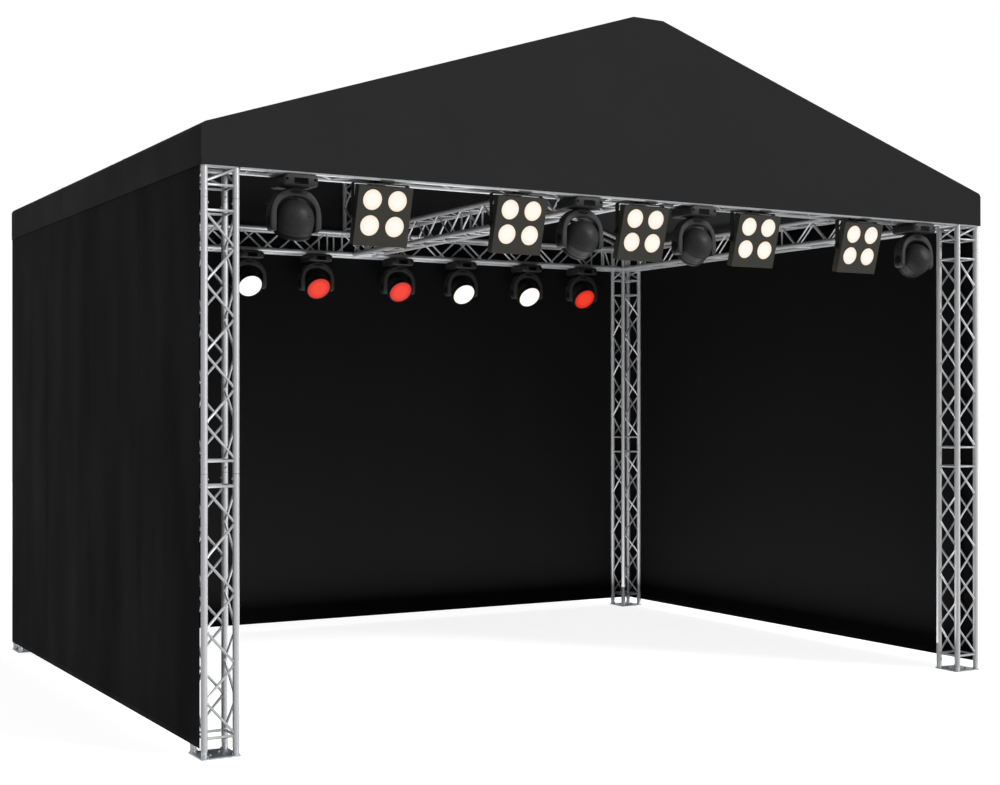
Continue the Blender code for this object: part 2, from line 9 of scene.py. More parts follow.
import bmesh
import bpy
import numpy as np
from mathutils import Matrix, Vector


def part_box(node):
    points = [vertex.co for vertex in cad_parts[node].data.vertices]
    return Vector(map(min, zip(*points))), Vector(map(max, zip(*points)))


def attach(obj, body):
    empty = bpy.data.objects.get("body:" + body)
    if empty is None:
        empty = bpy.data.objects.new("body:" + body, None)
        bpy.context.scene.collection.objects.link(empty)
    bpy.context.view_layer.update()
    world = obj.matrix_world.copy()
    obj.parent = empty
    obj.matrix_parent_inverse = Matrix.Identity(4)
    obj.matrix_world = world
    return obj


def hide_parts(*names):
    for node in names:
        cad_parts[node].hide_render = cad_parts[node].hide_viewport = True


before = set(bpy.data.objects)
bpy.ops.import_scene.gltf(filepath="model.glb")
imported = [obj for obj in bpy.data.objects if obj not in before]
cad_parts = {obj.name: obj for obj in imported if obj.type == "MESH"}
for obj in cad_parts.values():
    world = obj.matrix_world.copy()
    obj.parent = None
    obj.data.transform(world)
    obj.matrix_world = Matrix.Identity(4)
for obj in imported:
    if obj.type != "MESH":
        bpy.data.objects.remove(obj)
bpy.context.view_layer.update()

ROOT = "stage_frame"

# Box truss: 50 mm chords 240 mm apart, 20 mm laces
HALF = 0.120
CHORD = 0.025
LACE = 0.010
WELD = 0.0125
LACE_SEAT = 0.018
LACE_OFFSET = 0.014
LACE_INSET = 0.105
RUNG_INSET = 0.092
LEG_RING_GAP = 0.015
LEG_LACE_INSET = 0.103
JOINT_REACH = 0.355
PIN_STEP = 0.038
TRUSS_HALF = HALF + CHORD
GAP = 0.0003
CHORD_GAP = 0.0006
CHORD_SIDES = 20
LACE_SIDES = 8

# Tower axes, heights and bays
CORNER_X = 3.750
CORNER_Y = 2.850
FOOT = 0.058
JOINTS = (2.058, 4.058)
LOWER_CHORD = 4.295
TRUSS_TOP = 4.560
BEAM_AXIS = 4.415
BEAM_UNDER = 4.270
RIDGE_AXIS = 5.6585
TOWER_BAYS = (7, 7)
LONG_BAYS = (11, 2, 11)
SHORT_BAYS = (9, 9)

# Roof, cover and walls
ROOF_TOP = 5.807
RIDGE_HALF = 0.154
EAVE_HEIGHT = 4.590
EAVE_RADIUS = 0.050
VALANCE_BOTTOM = 4.287
COVER_X = 3.903
COVER_Y = 3.003
ROOF_SLOPE = (ROOF_TOP - EAVE_HEIGHT) / (COVER_X - RIDGE_HALF)
SEAM_HALF = 0.020
SEAM_LIFT = 0.0016
HEM_HEIGHT = 0.050
WALL_TOP = 4.540
WALL_BOTTOM = 0.080
FABRIC_THICKNESS = 0.0024
PANEL_WIDTH = 1.5
SIDE_WALL_X = 3.897
SIDE_WALL_ENDS = (-2.950, 2.9983)
REAR_WALL_HALF = 3.895
REAR_WALL_Y = 2.997

# Four sides of a box truss, each a first chord and the way to its second, and the side of a ladder
BOX = np.array([[[-1, 1], [1, 0]], [[1, -1], [-1, 0]], [[-1, -1], [0, 1]], [[1, 1], [0, -1]]], float)
LADDER = BOX[1:2]

# Turns of a body that stands along Z, to run along X, along X from the other end, and along Y
ALONG_X = np.array([[0, 0, 1], [0, 1, 0], [-1, 0, 0]], float)
ALONG_X_BACK = np.array([[0, 0, -1], [0, -1, 0], [-1, 0, 0]], float)
ALONG_Y = np.array([[1, 0, 0], [0, 0, 1], [0, -1, 0]], float)
UPRIGHT = np.eye(3)


# Shapes: points, and arrays of faces that hold the same count of corners each

def at_height(points, height):
    """Flat points lifted to one height."""
    return np.column_stack((points, np.full(len(points), height)))


def numbers_of(points):
    return np.arange(points[..., 0].size).reshape(points.shape[:-1])


def quads_of(index):
    """Quads between neighbours in the last two axes of a grid of point numbers."""
    low, high = index[..., :-1, :], index[..., 1:, :]
    return np.stack((low[..., :-1], low[..., 1:], high[..., 1:], high[..., :-1]), axis=-1).reshape(-1, 4)


def lofts(rings):
    """Closed bodies through rings of points, an array of (bodies, rings, points, 3). Neighbouring
    rings are joined by quads, and each body's first and last ring are closed by one face each."""
    index = numbers_of(rings)
    quads = quads_of(np.pad(index, ((0, 0), (0, 0), (0, 1)), "wrap"))
    return rings.reshape(-1, 3), [quads, index[:, 0, ::-1], index[:, -1]]


def circles(rows, sides):
    """Circles about Z of each (radius, height): (rows, sides, 3)."""
    angles = math.tau * np.arange(sides) / sides
    radius, height = (column[:, None] for column in np.array(rows, float).T)
    return np.stack((radius * np.cos(angles), radius * np.sin(angles), height + 0 * angles), axis=-1)


def hoop(rings):
    """A body whose last ring meets its first, so that it goes round a hole: (rings, points, 3)."""
    return rings.reshape(-1, 3), [quads_of(np.pad(numbers_of(rings), (0, 1), "wrap"))]


def sheet_of(grid):
    """An open sheet over a grid of points, an array of (rows, columns, 3), one quad per cell."""
    return grid.reshape(-1, 3), [quads_of(numbers_of(grid))]


def turned(starts, ends, profile, sides):
    """Round bodies between two sets of points. Each (share, step, radius) of the profile is a circle
    about start + share * (end - start) + step * direction."""
    starts = np.atleast_2d(np.asarray(starts, float))
    span = np.atleast_2d(np.asarray(ends, float)) - starts
    along = span / np.linalg.norm(span, axis=1, keepdims=True)
    helper = np.where(np.abs(along[:, 2:]) < 0.9, (0.0, 0.0, 1.0), (1.0, 0.0, 0.0))
    beside = np.cross(helper, along)
    beside /= np.linalg.norm(beside, axis=1, keepdims=True)
    above = np.cross(along, beside)
    share, step, radius = (column[:, None, None] for column in np.array(profile, float).T)
    angles = math.tau * (np.arange(sides) + 0.5) / sides
    circle = np.cos(angles)[:, None] * beside[:, None] + np.sin(angles)[:, None] * above[:, None]
    centre = starts[:, None, None] + share * span[:, None, None] + step * along[:, None, None]
    return lofts(centre + radius * circle[:, None])


def rods(starts, ends, radius, sides):
    return turned(starts, ends, ((0, 0, radius), (1, 0, radius)), sides)


def buttons(starts, way, radius, bevel, top, sides):
    """Round heads that rise along a vector, with a bevel of that depth in to the top's radius."""
    starts = np.asarray(starts, float)
    return turned(starts, starts + way, ((0, 0, radius), (1, -bevel, radius), (1, 0, top)), sides)


def swept(path, section, across):
    """A section of (a, b) points carried along a path: path + a * across + b * (tangent x across)."""
    tangent = np.gradient(path, axis=0)
    tangent /= np.linalg.norm(tangent, axis=1, keepdims=True)
    beside = np.cross(tangent, across)
    rings = path[:, None] + section[:, :1] * across + section[:, 1:] * beside[:, None]
    return lofts(rings[None])


def rounded(half_a, half_b, radius, steps=4):
    """A rectangle's outline with round corners: corner centre + radius * (cos t, sin t)."""
    quarter = np.linspace(0, math.pi / 2, steps + 1)
    angles = (np.arange(4)[:, None] * math.pi / 2 + quarter).ravel()
    signs = np.repeat([(1, 1), (-1, 1), (-1, -1), (1, -1)], steps + 1, axis=0)
    arcs = np.stack((np.cos(angles), np.sin(angles)), -1)
    return signs * (half_a - radius, half_b - radius) + radius * arcs


def stacked(levels, radius, steps=4):
    """A body that rises along Z through rounded rectangles of (height, half a, half b)."""
    rings = [at_height(rounded(a, b, min(radius, a, b), steps), height) for height, a, b in levels]
    return lofts(np.array(rings)[None])


def slab(half_a, half_b, low, high, radius, edge):
    """A plate with round corners and a small bevel round each face."""
    levels = ((low, edge), (low + edge, 0), (high - edge, 0), (high, edge))
    return stacked([(height, half_a - inset, half_b - inset) for height, inset in levels], radius)


def placed(shape, turn=UPRIGHT, at=(0.0, 0.0, 0.0)):
    points, faces = shape
    return points @ turn.T + at, faces


def joined(*shapes):
    """Several shapes as one, each one's faces moved up by the count of points before it."""
    offsets = np.cumsum([0] + [len(points) for points, _ in shapes[:-1]])
    faces = [part + offset for (_, parts), offset in zip(shapes, offsets) for part in parts]
    return np.concatenate([points for points, _ in shapes]), faces


def tipped(angle):
    """Turn about X."""
    c, s = math.cos(angle), math.sin(angle)
    return np.array([[1, 0, 0], [0, c, -s], [0, s, c]])


def piece(name, body, parts, slot, replaces=(), crease=35, turn=UPRIGHT, at=(0.0, 0.0, 0.0)):
    """One object from (shape, material) pairs, turned and placed. It rides on its body and stands for
    the nodes named."""
    points, faces = placed(joined(*[shape for shape, _ in parts]), turn, at)
    materials = list(dict.fromkeys(material for _, material in parts))
    marks = [np.full(len(part), materials.index(material)) for shape, material in parts for part in shape[1]]
    sizes = np.concatenate([np.full(len(part), part.shape[1]) for part in faces])
    mesh = bpy.data.meshes.new(name)
    mesh.vertices.add(len(points))
    mesh.vertices.foreach_set("co", points.astype(np.float32).ravel())
    mesh.loops.add(int(sizes.sum()))
    mesh.loops.foreach_set("vertex_index", np.concatenate([part.ravel() for part in faces]).astype(np.int32))
    mesh.polygons.add(len(sizes))
    mesh.polygons.foreach_set("loop_start", (np.cumsum(sizes) - sizes).astype(np.int32))
    mesh.polygons.foreach_set("material_index", np.concatenate(marks).astype(np.int32))
    mesh.update(calc_edges=True)
    for material in materials:
        mesh.materials.append(material)
    worked = bmesh.new()
    worked.from_mesh(mesh)
    bmesh.ops.remove_doubles(worked, verts=worked.verts, dist=1e-6)
    bmesh.ops.recalc_face_normals(worked, faces=worked.faces)
    worked.to_mesh(mesh)
    worked.free()
    mesh.shade_smooth()
    mesh.set_sharp_from_angle(angle=math.radians(crease))
    obj = bpy.data.objects.new(name, mesh)
    bpy.context.scene.collection.objects.link(obj)
    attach(obj, body)
    if replaces:
        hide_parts(*replaces)
    return obj


# Finishes

def srgb(text):
    """A hex colour as the linear one that a shader takes."""
    channels = [int(text[i : i + 2], 16) / 255 for i in (1, 3, 5)]
    linear = [c / 12.92 if c <= 0.04045 else ((c + 0.055) / 1.055) ** 2.4 for c in channels]
    return (*linear, 1.0)


def add(tree, kind, inputs, **settings):
    """Adds one shader node with its settings, and sets or links each input named."""
    node = tree.nodes.new(f"ShaderNode{kind}")
    for name, value in settings.items():
        setattr(node, name, value)
    for socket, source in inputs.items():
        if isinstance(source, bpy.types.NodeSocket):
            tree.links.new(source, node.inputs[socket])
        else:
            node.inputs[socket].default_value = source
    return node


def new_material(name, **sockets):
    """A material with uniform values on its shader's own sockets, its node tree and its shader."""
    material = bpy.data.materials.new(name)
    material.use_nodes = True
    tree = material.node_tree
    shader = tree.nodes["Principled BSDF"]
    for socket, value in sockets.items():
        shader.inputs[socket.replace("_", " ")].default_value = value
    return material, tree, shader


def finish(name, colours, roughness, patch, relief, depth, stretch=(1, 1, 1), metallic=0, specular=0.5):
    """The ground of every solid finish: soft patches of a given size mix two close colours and two
    roughnesses, and a fine relief of a given size and depth breaks the highlights. Stretch draws
    both out along an axis."""
    material, tree, shader = new_material(name, Metallic=metallic, Specular_IOR_Level=specular)
    position = add(tree, "TexCoord", {}).outputs["Object"]
    drawn = add(tree, "Mapping", {"Vector": position, "Scale": stretch}).outputs[0]
    patches = add(tree, "TexNoise", {"Vector": drawn, "Scale": 1 / patch, "Detail": 4.0}).outputs[0]
    tones = {0: patches, 6: srgb(colours[0]), 7: srgb(colours[1])}
    colour = add(tree, "Mix", tones, data_type="RGBA")
    low, high = roughness
    range_of = {"Value": patches, "From Min": 0.3, "From Max": 0.7, "To Min": low, "To Max": high}
    gloss = add(tree, "MapRange", range_of)
    fine = add(tree, "TexNoise", {"Vector": drawn, "Scale": 1 / relief, "Detail": 2.0})
    bump = add(tree, "Bump", {"Height": fine.outputs[0], "Distance": depth, "Strength": 0.6})
    tree.links.new(colour.outputs[2], shader.inputs["Base Color"])
    tree.links.new(gloss.outputs[0], shader.inputs["Roughness"])
    tree.links.new(bump.outputs[0], shader.inputs["Normal"])
    return material


def drawn_aluminium(name, stretch):
    """Extruded aluminium tube, left as drawn and dulled by its oxide, which scatters part of the light:
    a pale grey metal with fine lines along the tube. The lines are 0.1 mm apart on the real one and
    6 mm here, so that they show."""
    greys = ("#aaabad", "#bcbdbf")
    return finish(name, greys, (0.30, 0.42), 0.09, 0.006, 0.0005, stretch, metallic=0.3)


def spangled_zinc():
    """Hot-dip zinc on steel: dull grey crystals, 12 mm across, each a shade apart."""
    greys = ("#8c9094", "#a9adb0")
    material = finish("hot-dip zinc on steel", greys, (0.42, 0.58), 0.08, 0.004, 0.0004, metallic=1.0)
    tree = material.node_tree
    position = add(tree, "TexCoord", {}).outputs["Object"]
    crystals = add(tree, "TexVoronoi", {"Vector": position, "Scale": 1 / 0.012})
    tones = {0: crystals.outputs["Color"], 6: srgb("#85898d"), 7: srgb("#b4b8bb")}
    shade = add(tree, "Mix", tones, data_type="RGBA")
    tree.links.new(shade.outputs[2], tree.nodes["Principled BSDF"].inputs["Base Color"])
    return material


def coated_fabric(name, colours, stretch):
    """Woven polyester coated with PVC, matt black: a faint square weave under the coat and soft
    unevenness where it is pulled tight. Threads are 1.2 mm apart on the real one and 8 mm here."""
    material = finish(name, colours, (0.62, 0.76), 0.45, 0.12, 0.002, stretch, specular=0.01)
    tree = material.node_tree
    position = add(tree, "TexCoord", {}).outputs["Object"]
    spaced = {"Vector": position, "Scale": math.tau / 20 / 0.008}
    threads = [add(tree, "TexWave", spaced, bands_direction=way).outputs[1] for way in "XYZ"]
    height = add(tree, "Math", {0: threads[0], 1: 1.0}, operation="MULTIPLY")
    for thread in threads[1:]:
        height = add(tree, "Math", {0: height.outputs[0], 1: thread}, operation="ADD")
    weave = add(tree, "Bump", {"Height": height.outputs[0], "Distance": 0.0004, "Strength": 0.3})
    tree.links.new(tree.nodes["Bump"].outputs[0], weave.inputs["Normal"])
    tree.links.new(weave.outputs[0], tree.nodes["Principled BSDF"].inputs["Normal"])
    return material


def lit_glass(name, centre, rim, strength):
    """Front glass of a lit lamp: clear and glossy, bright in the middle and a little deeper at the
    rim, which the piece's own attribute marks from 0 to 1."""
    material, tree, shader = new_material(
        name, Base_Color=srgb("#1c1c1c"), Roughness=0.12, Specular_IOR_Level=0.05, Emission_Strength=strength
    )
    where = add(tree, "Attribute", {}, attribute_name="rim")
    edge = add(tree, "MapRange", {"Value": where.outputs["Fac"], "From Min": 0.55, "From Max": 1.0})
    tones = {0: edge.outputs[0], 6: srgb(centre), 7: srgb(rim)}
    colour = add(tree, "Mix", tones, data_type="RGBA")
    tree.links.new(colour.outputs[2], shader.inputs["Emission Color"])
    return material


UPRIGHT_TUBE = drawn_aluminium("drawn aluminium tube, upright", (1, 1, 0.04))
CROSSWISE_TUBE = drawn_aluminium("drawn aluminium tube, crosswise", (0.04, 1, 1))
LENGTHWISE_TUBE = drawn_aluminium("drawn aluminium tube, lengthwise", (1, 0.04, 1))
ZINC = spangled_zinc()
# Bright zinc plate on the pins and clips: smooth and a little bluer than the tubes
PLATED = finish(
    "bright zinc plated steel", ("#8d9196", "#a4a8ad"), (0.30, 0.42), 0.02, 0.002, 0.0001, metallic=1.0
)
COVER = coated_fabric("coated polyester roof fabric", ("#282828", "#2d2d2d"), (1, 1, 1))
# Painted shade: the walls use the same coated cloth as the roof, painted darker for walls that turn away from
# the key light and stand under the roof
WALL_FABRIC_PAINTED_SHADE = coated_fabric("coated polyester wall fabric, painted shade", ("#121212", "#151515"), (1, 1, 0.3))
# Spark-eroded ABS: dark grey, dull, with a pimpled grain of 0.5 mm drawn at 3 mm
SHELL = finish(
    "spark-eroded ABS, charcoal", ("#222222", "#292929"), (0.42, 0.54), 0.05, 0.003, 0.0003, specular=0.15
)
YOKE = finish(
    "spark-eroded ABS, slate", ("#2b2b2b", "#313131"), (0.44, 0.56), 0.06, 0.003, 0.0003, specular=0.15
)
# Satin ABS on the bezels: the same plastic from a polished mould. Its black also paints shade in the oval
# recess on each yoke's crown
BEZEL_AND_RECESS_SHADE = finish(
    "satin ABS, black, and painted recess shade", ("#141414", "#1a1a1a"), (0.40, 0.50), 0.04, 0.004, 0.0001, specular=0.05
)
# Powder coat: warm black with the soft orange-peel of baked powder, 2.5 mm across
POWDER = finish(
    "powder-coated steel, warm black", ("#2e2d29", "#35342f"), (0.46, 0.58), 0.07, 0.0025, 0.0002,
    specular=0.15,
)
BRACKET = finish(
    "powder-coated steel, black", ("#1d1d1d", "#242424"), (0.44, 0.56), 0.06, 0.0025, 0.0002, specular=0.15
)
# Blackened steel screws and clamps: a dark metal with a worn sheen
BLACKENED = finish(
    "blackened steel", ("#2c2c2d", "#3c3c3d"), (0.34, 0.48), 0.015, 0.002, 0.0001, metallic=1.0
)
# Smoked acrylic over the display: near black with a satin anti-glare face. The same near black paints shade
# in the base's screw wells
ACRYLIC_AND_WELL_SHADE = finish(
    "smoked acrylic and painted well shade", ("#030303", "#060606"), (0.34, 0.40), 0.03, 0.01, 0.00002, specular=0.02
)
# Moulded rubber on the feet and glands: dead matt. The same dark rubber paints shade in a ring round each
# flood lens
RUBBER_AND_LENS_SHADE = finish("moulded rubber and painted lens shade", ("#161616", "#1b1b1b"), (0.70, 0.80), 0.02, 0.002, 0.0002)
WHITE_LAMP = lit_glass("lit lamp glass, white", "#ffffff", "#fff6ea", 1.15)
RED_LAMP = lit_glass("lit lamp glass, red", "#f23a24", "#c81c10", 1.0)
DIM_RED_LAMP = lit_glass("lit lamp glass, dim red", "#f23a24", "#c81c10", 0.3)
WARM_LAMP = lit_glass("lit lamp glass, warm white", "#fffaf2", "#fbe9d2", 1.0)


# Trusses

def zigzag(start, end, count, lean=0):
    """Heights of the two ends of each lace: node i stands at start + i * pitch, and every second lace
    runs the other way. An odd lean turns every lace the other way."""
    pitch = (end - start) / count
    low = start + pitch * np.arange(count) + LACE_OFFSET
    high = low + pitch - 2 * LACE_OFFSET
    odd = (np.arange(count) + lean) % 2 == 1
    return np.where(odd, high, low), np.where(odd, low, high)


def laces(sides, first, second):
    """Rods across each side, from its first chord at `first` to its second at `second`, with a weld
    that flares at both ends."""
    ends = []
    for reach, heights in ((LACE_SEAT, first), (2 * HALF - LACE_SEAT, second)):
        flat = np.repeat(sides[:, 0] * HALF + sides[:, 1] * reach, len(heights), axis=0)
        ends.append(np.column_stack((flat, np.tile(heights, len(sides)))))
    profile = (
        (0, 0, WELD), (0, 0.010, WELD), (0, 0.014, LACE),
        (1, -0.014, LACE), (1, -0.010, WELD), (1, 0, WELD),
    )
    return turned(*ends, profile, LACE_SIDES)


def columns_of(sides):
    """The chords' places, each once: every side's first and second chord."""
    return np.unique(np.concatenate((sides[:, 0], sides[:, 0] + 2 * sides[:, 1])), axis=0) * HALF


def chords(sides, breaks):
    """Tubes along Z at each corner, with a bevelled seam wherever two lengths meet."""
    columns = columns_of(sides)
    starts = np.concatenate([at_height(columns, low + CHORD_GAP) for low in breaks[:-1]])
    ends = np.concatenate([at_height(columns, high - CHORD_GAP) for high in breaks[1:]])
    profile = ((0, 0, CHORD - 0.002), (0, 0.002, CHORD), (1, -0.002, CHORD), (1, 0, CHORD - 0.002))
    return turned(starts, ends, profile, CHORD_SIDES)


def pins(sides, joints):
    """A tapered pin through each tube on both sides of a joint, with its spring clip: the pin runs
    along X below the joint and along Y above it."""
    columns = columns_of(sides)
    centres, outs = [], []
    for step, way in ((-PIN_STEP, (1.0, 0.0, 0.0)), (PIN_STEP, (0.0, 1.0, 0.0))):
        for joint in joints:
            centres.append(at_height(columns, joint + step))
            outs.append(np.sign(centres[-1] @ way)[:, None] * way)
    centre, out = np.concatenate(centres), np.concatenate(outs)
    pin = ((0, 0, 0.005), (1, -0.0045, 0.0065), (1, -0.004, 0.009), (1, 0, 0.0085))
    clip = ((0, 0, 0.001), (0.3, 0, 0.007), (0.7, 0, 0.007), (1, 0, 0.001))
    clip_at = centre - out * 0.0325
    clip_half = (0.0015, 0.0, 0.0)
    return joined(
        turned(centre + out * 0.0262, centre - out * 0.0300, pin, 8),
        turned(clip_at - clip_half, clip_at + clip_half, clip, 6),
    )


def truss(breaks, zigzags, rungs, sides=BOX):
    """A truss along Z: its chords, each (start, end, count) of zigzags and each height of rungs."""
    shapes = [chords(sides, breaks)]
    shapes += [laces(sides, *zigzag(*row)) for row in zigzags]
    return joined(*shapes, laces(sides, rungs, rungs))


def segments(breaks, bays):
    """Zigzags and rungs of the segments between the breaks, set in from each joint."""
    spans = list(zip(breaks, breaks[1:]))
    zigzags = [(low + LACE_INSET, high - LACE_INSET, count) for (low, high), count in zip(spans, bays)]
    rungs = [height for low, high in spans for height in (low + RUNG_INSET, high - RUNG_INSET)]
    return zigzags, rungs


def place_truss(name, shape, joints, material, sides=BOX, **place):
    """The tubes of a truss and the pins in its joints, turned and placed together."""
    piece(f"{name}_tubes", ROOT, [(shape, material)], "mill_aluminium", [name], **place)
    piece(f"{name}_pins", ROOT, [(pins(sides, joints), PLATED)], "plated_steel", **place)


def make_tower(corner, x, y):
    """Two segments, a short leg with one crossed pair of laces, and the corner's two square frames."""
    zigzags, rungs = segments((FOOT, *JOINTS), TOWER_BAYS)
    zigzags.append((JOINTS[1] + LACE_INSET, LOWER_CHORD - LEG_RING_GAP, 1, 1))
    rungs.append(JOINTS[1] + RUNG_INSET)
    body = truss((FOOT, *JOINTS, TRUSS_TOP), zigzags, rungs)
    starts = BOX[:, 0] * HALF
    ends = starts + 2 * HALF * BOX[:, 1]
    frames = [
        rods(at_height(starts, height), at_height(ends, height), CHORD, CHORD_SIDES)
        for height in (LOWER_CHORD, LOWER_CHORD + 2 * HALF)
    ]
    joints = (*JOINTS, FOOT - 0.001)
    place_truss(f"{corner}_tower", joined(body, *frames), joints, UPRIGHT_TUBE, at=(x, y, 0))


def make_base_plate(corner, x, y):
    """Steel plate with four tapered stubs, their weld beads and a nut beside each."""
    columns = columns_of(BOX)
    seat = 0.009
    stub = ((0, 0, 0.027), (0, 0.004, 0.0235), (0, 0.046, 0.0228), (1, 0, 0.018))
    stubs = turned(at_height(columns, seat), at_height(columns, 0.085), stub, 20)
    plate = slab(0.150, 0.150, 0.0, 0.010, 0.012, 0.0015)
    bolts = columns * 0.42
    nut = ((0, 0, 0.015), (0, 0.0025, 0.015), (0, 0.0026, 0.011), (1, -0.001, 0.011), (1, 0, 0.010))
    nuts = turned(at_height(bolts, seat), at_height(bolts, 0.020), nut, 6)
    parts = [(joined(plate, stubs), ZINC), (nuts, PLATED)]
    piece(f"{corner}_base", ROOT, parts, "zinc_plate", [f"{corner}_base_plate"], at=(x, y, 0))


# Half lengths of the beams, which end just short of the towers, and the joints along them
LONG = CORNER_X - TRUSS_HALF - GAP
SHORT = CORNER_Y - TRUSS_HALF - GAP
LONG_BREAKS = (-CORNER_X + JOINT_REACH, -JOINT_REACH, JOINT_REACH, CORNER_X - JOINT_REACH)
SHORT_BREAKS = (-CORNER_Y + JOINT_REACH, 0.0, CORNER_Y - JOINT_REACH)


def make_beam(name, reach, breaks, bays, material, sides=BOX, **place):
    """A beam between two towers: segments between the joints and a short leg at each end with one
    crossed pair of laces."""
    zigzags, rungs = segments(breaks, bays)
    for side in (-1, 1):
        leg = sorted((side * (abs(breaks[0]) + LEG_LACE_INSET), side * (reach - 0.004)))
        zigzags.append((*leg, 1))
        rungs.append(side * (abs(breaks[0]) + RUNG_INSET))
    shape = truss((-reach, *breaks, reach), zigzags, rungs, sides)
    place_truss(name, shape, breaks, material, sides, **place)


def rafter_axis(x):
    """Height of a rafter's axis: the roof line less the cover, a small drop and half the tube."""
    rise = math.hypot(1, ROOF_SLOPE)
    return ROOF_TOP - ROOF_SLOPE * (x - RIDGE_HALF) - 0.003 * rise - 0.008 - 0.024 * rise


def make_gable_frame(name, y):
    """King post, rafters on both rows and their posts, with a sleeve at each meeting."""
    top = ROOF_TOP - 0.0035
    low = TRUSS_TOP + GAP
    post = truss((low, top), [(low + 0.09, top - 0.105, 5)], [low + 0.05, top - 0.09])
    start, end, foot = TRUSS_HALF - 0.012, 3.80, CORNER_X - HALF
    rows = np.array([(side, row) for side in (-1, 1) for row in (-HALF, HALF)])
    inner, outer, heads = (at_height(rows * (x, 1), rafter_axis(x)) for x in (start, end, foot))
    rafters = turned(inner, outer, ((0, 0, 0.024), (1, -0.002, 0.024), (1, 0, 0.022)), CHORD_SIDES)
    posts = rods(at_height(rows * (foot, 1), low), heads, 0.020, CHORD_SIDES)
    sleeve = ((0, 0, 0.024), (0, 0.002, 0.0265), (1, -0.002, 0.0265), (1, 0, 0.024))
    way = (outer - inner) / np.linalg.norm(outer - inner, axis=1, keepdims=True)
    at_post = inner + way * ((foot - start) / way[:, :1] * np.sign(way[:, :1]))
    sleeves = turned(at_post - way * 0.05, at_post + way * 0.05, sleeve, 16)
    shape = joined(post, rafters, posts, sleeves)
    piece(f"{name}_tubes", ROOT, [(shape, CROSSWISE_TUBE)], "mill_aluminium", [name], at=(0, y, 0))


# Cover and walls

def roof_line():
    """Half of the cover's cross-section from the ridge to the top of the valance: the flat ridge, a
    straight slope and an arc round the eave."""
    slope = math.atan(ROOF_SLOPE)
    reach = EAVE_RADIUS * math.tan((math.pi / 2 - slope) / 2)
    centre = np.array((COVER_X - EAVE_RADIUS, EAVE_HEIGHT - reach))
    angles = np.linspace(math.pi / 2 - slope, 0, 9)
    arc = centre + EAVE_RADIUS * np.column_stack((np.cos(angles), np.sin(angles)))
    ridge = np.array([(x, ROOF_TOP) for x in (0.0, 0.05, 0.10, 0.14)] + [(RIDGE_HALF, ROOF_TOP - 0.0012)])
    share = np.linspace(0, 1, 40)[1:-1, None]
    straight = ridge[-1] + share * (arc[0] - ridge[-1])
    return np.concatenate((ridge, straight, arc))


def with_edges(values, seams, half_width):
    """The values and, for each seam, its two steps: a pair of values on each edge."""
    steps = np.array((-1.02, -1.0, 1.0, 1.02)) * half_width
    return np.unique(np.concatenate((values, (seams[:, None] + steps).ravel())))


def raised(values, seams, half_width):
    """1 on the overlap of a welded seam and 0 beside it."""
    return (np.abs(values[:, None] - seams) < 1.01 * half_width).any(axis=1).astype(float)


def thicken(sheet, offset):
    """The coated fabric's thickness, inwards for an offset of -1 and both ways for 0."""
    thickness = sheet.modifiers.new("fabric thickness", "SOLIDIFY")
    thickness.thickness = FABRIC_THICKNESS
    thickness.offset = offset


def make_cover():
    """Roof, gables and valance as one sheet. The roof is the cross-section carried from front to
    back. It sags between ridge and eave by 22 mm * sin(pi u^0.8)^2 * sin(pi v)^0.6 and stands out on
    the welded seams and the hem. Each gable fills the section from the hem to the roof line, column
    by column."""
    half = roof_line()
    depth = half[-1, 1] - VALANCE_BOTTOM
    heights = np.array((0.0, 0.001, HEM_HEIGHT, HEM_HEIGHT + 0.001, 0.12, 0.18, 0.22)) / depth
    drop = len(heights)
    heights = np.append(heights, 1.0)
    valance = np.column_stack((np.full(drop, COVER_X), VALANCE_BOTTOM + heights[:-1] * depth))
    right = np.concatenate((half, valance[::-1]))
    outline = np.concatenate((right[:0:-1] * (-1, 1), right))
    along = np.gradient(outline, axis=0)
    outwards = np.column_stack((-along[:, 1], along[:, 0])) / np.linalg.norm(along, axis=1)[:, None]
    seams = 0.5 + np.array((-1.0, 1.0)) / (2 * COVER_Y)
    seam_half = SEAM_HALF / (2 * COVER_Y)
    v = with_edges(np.linspace(0, 1, 61), seams, seam_half)
    span = np.linspace(0, 1, len(half))
    sag_half = np.concatenate((0.022 * np.sin(math.pi * span ** 0.8) ** 2, np.zeros(drop)))
    sag = np.concatenate((sag_half[:0:-1], sag_half))
    lowered = outline[:, 1] - sag * (np.sin(math.pi * v) ** 0.6)[:, None]
    roof = np.stack(np.broadcast_arrays(outline[:, 0], COVER_Y * (2 * v[:, None] - 1), lowered), -1)
    above = outline[:, 1] - VALANCE_BOTTOM
    hem = (np.abs(above - HEM_HEIGHT / 2) < HEM_HEIGHT / 2 + 1e-6) & (above > 1e-6)
    lift = SEAM_LIFT * np.maximum(raised(v, seams, seam_half)[:, None], hem[None, :])
    lift *= ((v > 0) & (v < 1))[:, None]
    roof[..., 0] += lift * outwards[:, 0]
    roof[..., 2] += lift * outwards[:, 1]
    tops = outline[drop:-drop]
    gables = []
    for side in (-1, 1):
        grid = np.empty((drop + 1, len(tops), 3))
        grid[..., 0] = tops[:, 0]
        grid[..., 1] = side * COVER_Y
        grid[1:3, 1:-1, 1] += side * SEAM_LIFT
        grid[..., 2] = VALANCE_BOTTOM + heights[:, None] * depth
        rise = ((heights[4:] - heights[4]) / (1 - heights[4]))[:, None]
        grid[4:, :, 2] = grid[4, :, 2] + rise * (tops[:, 1] - grid[4, :, 2])
        gables.append(sheet_of(grid))
    shape = joined(sheet_of(roof), *gables)
    cover = piece("roof_fabric", ROOT, [(shape, COVER)], "coated_fabric", ["roof_cover"], 30)
    thicken(cover, -1.0)


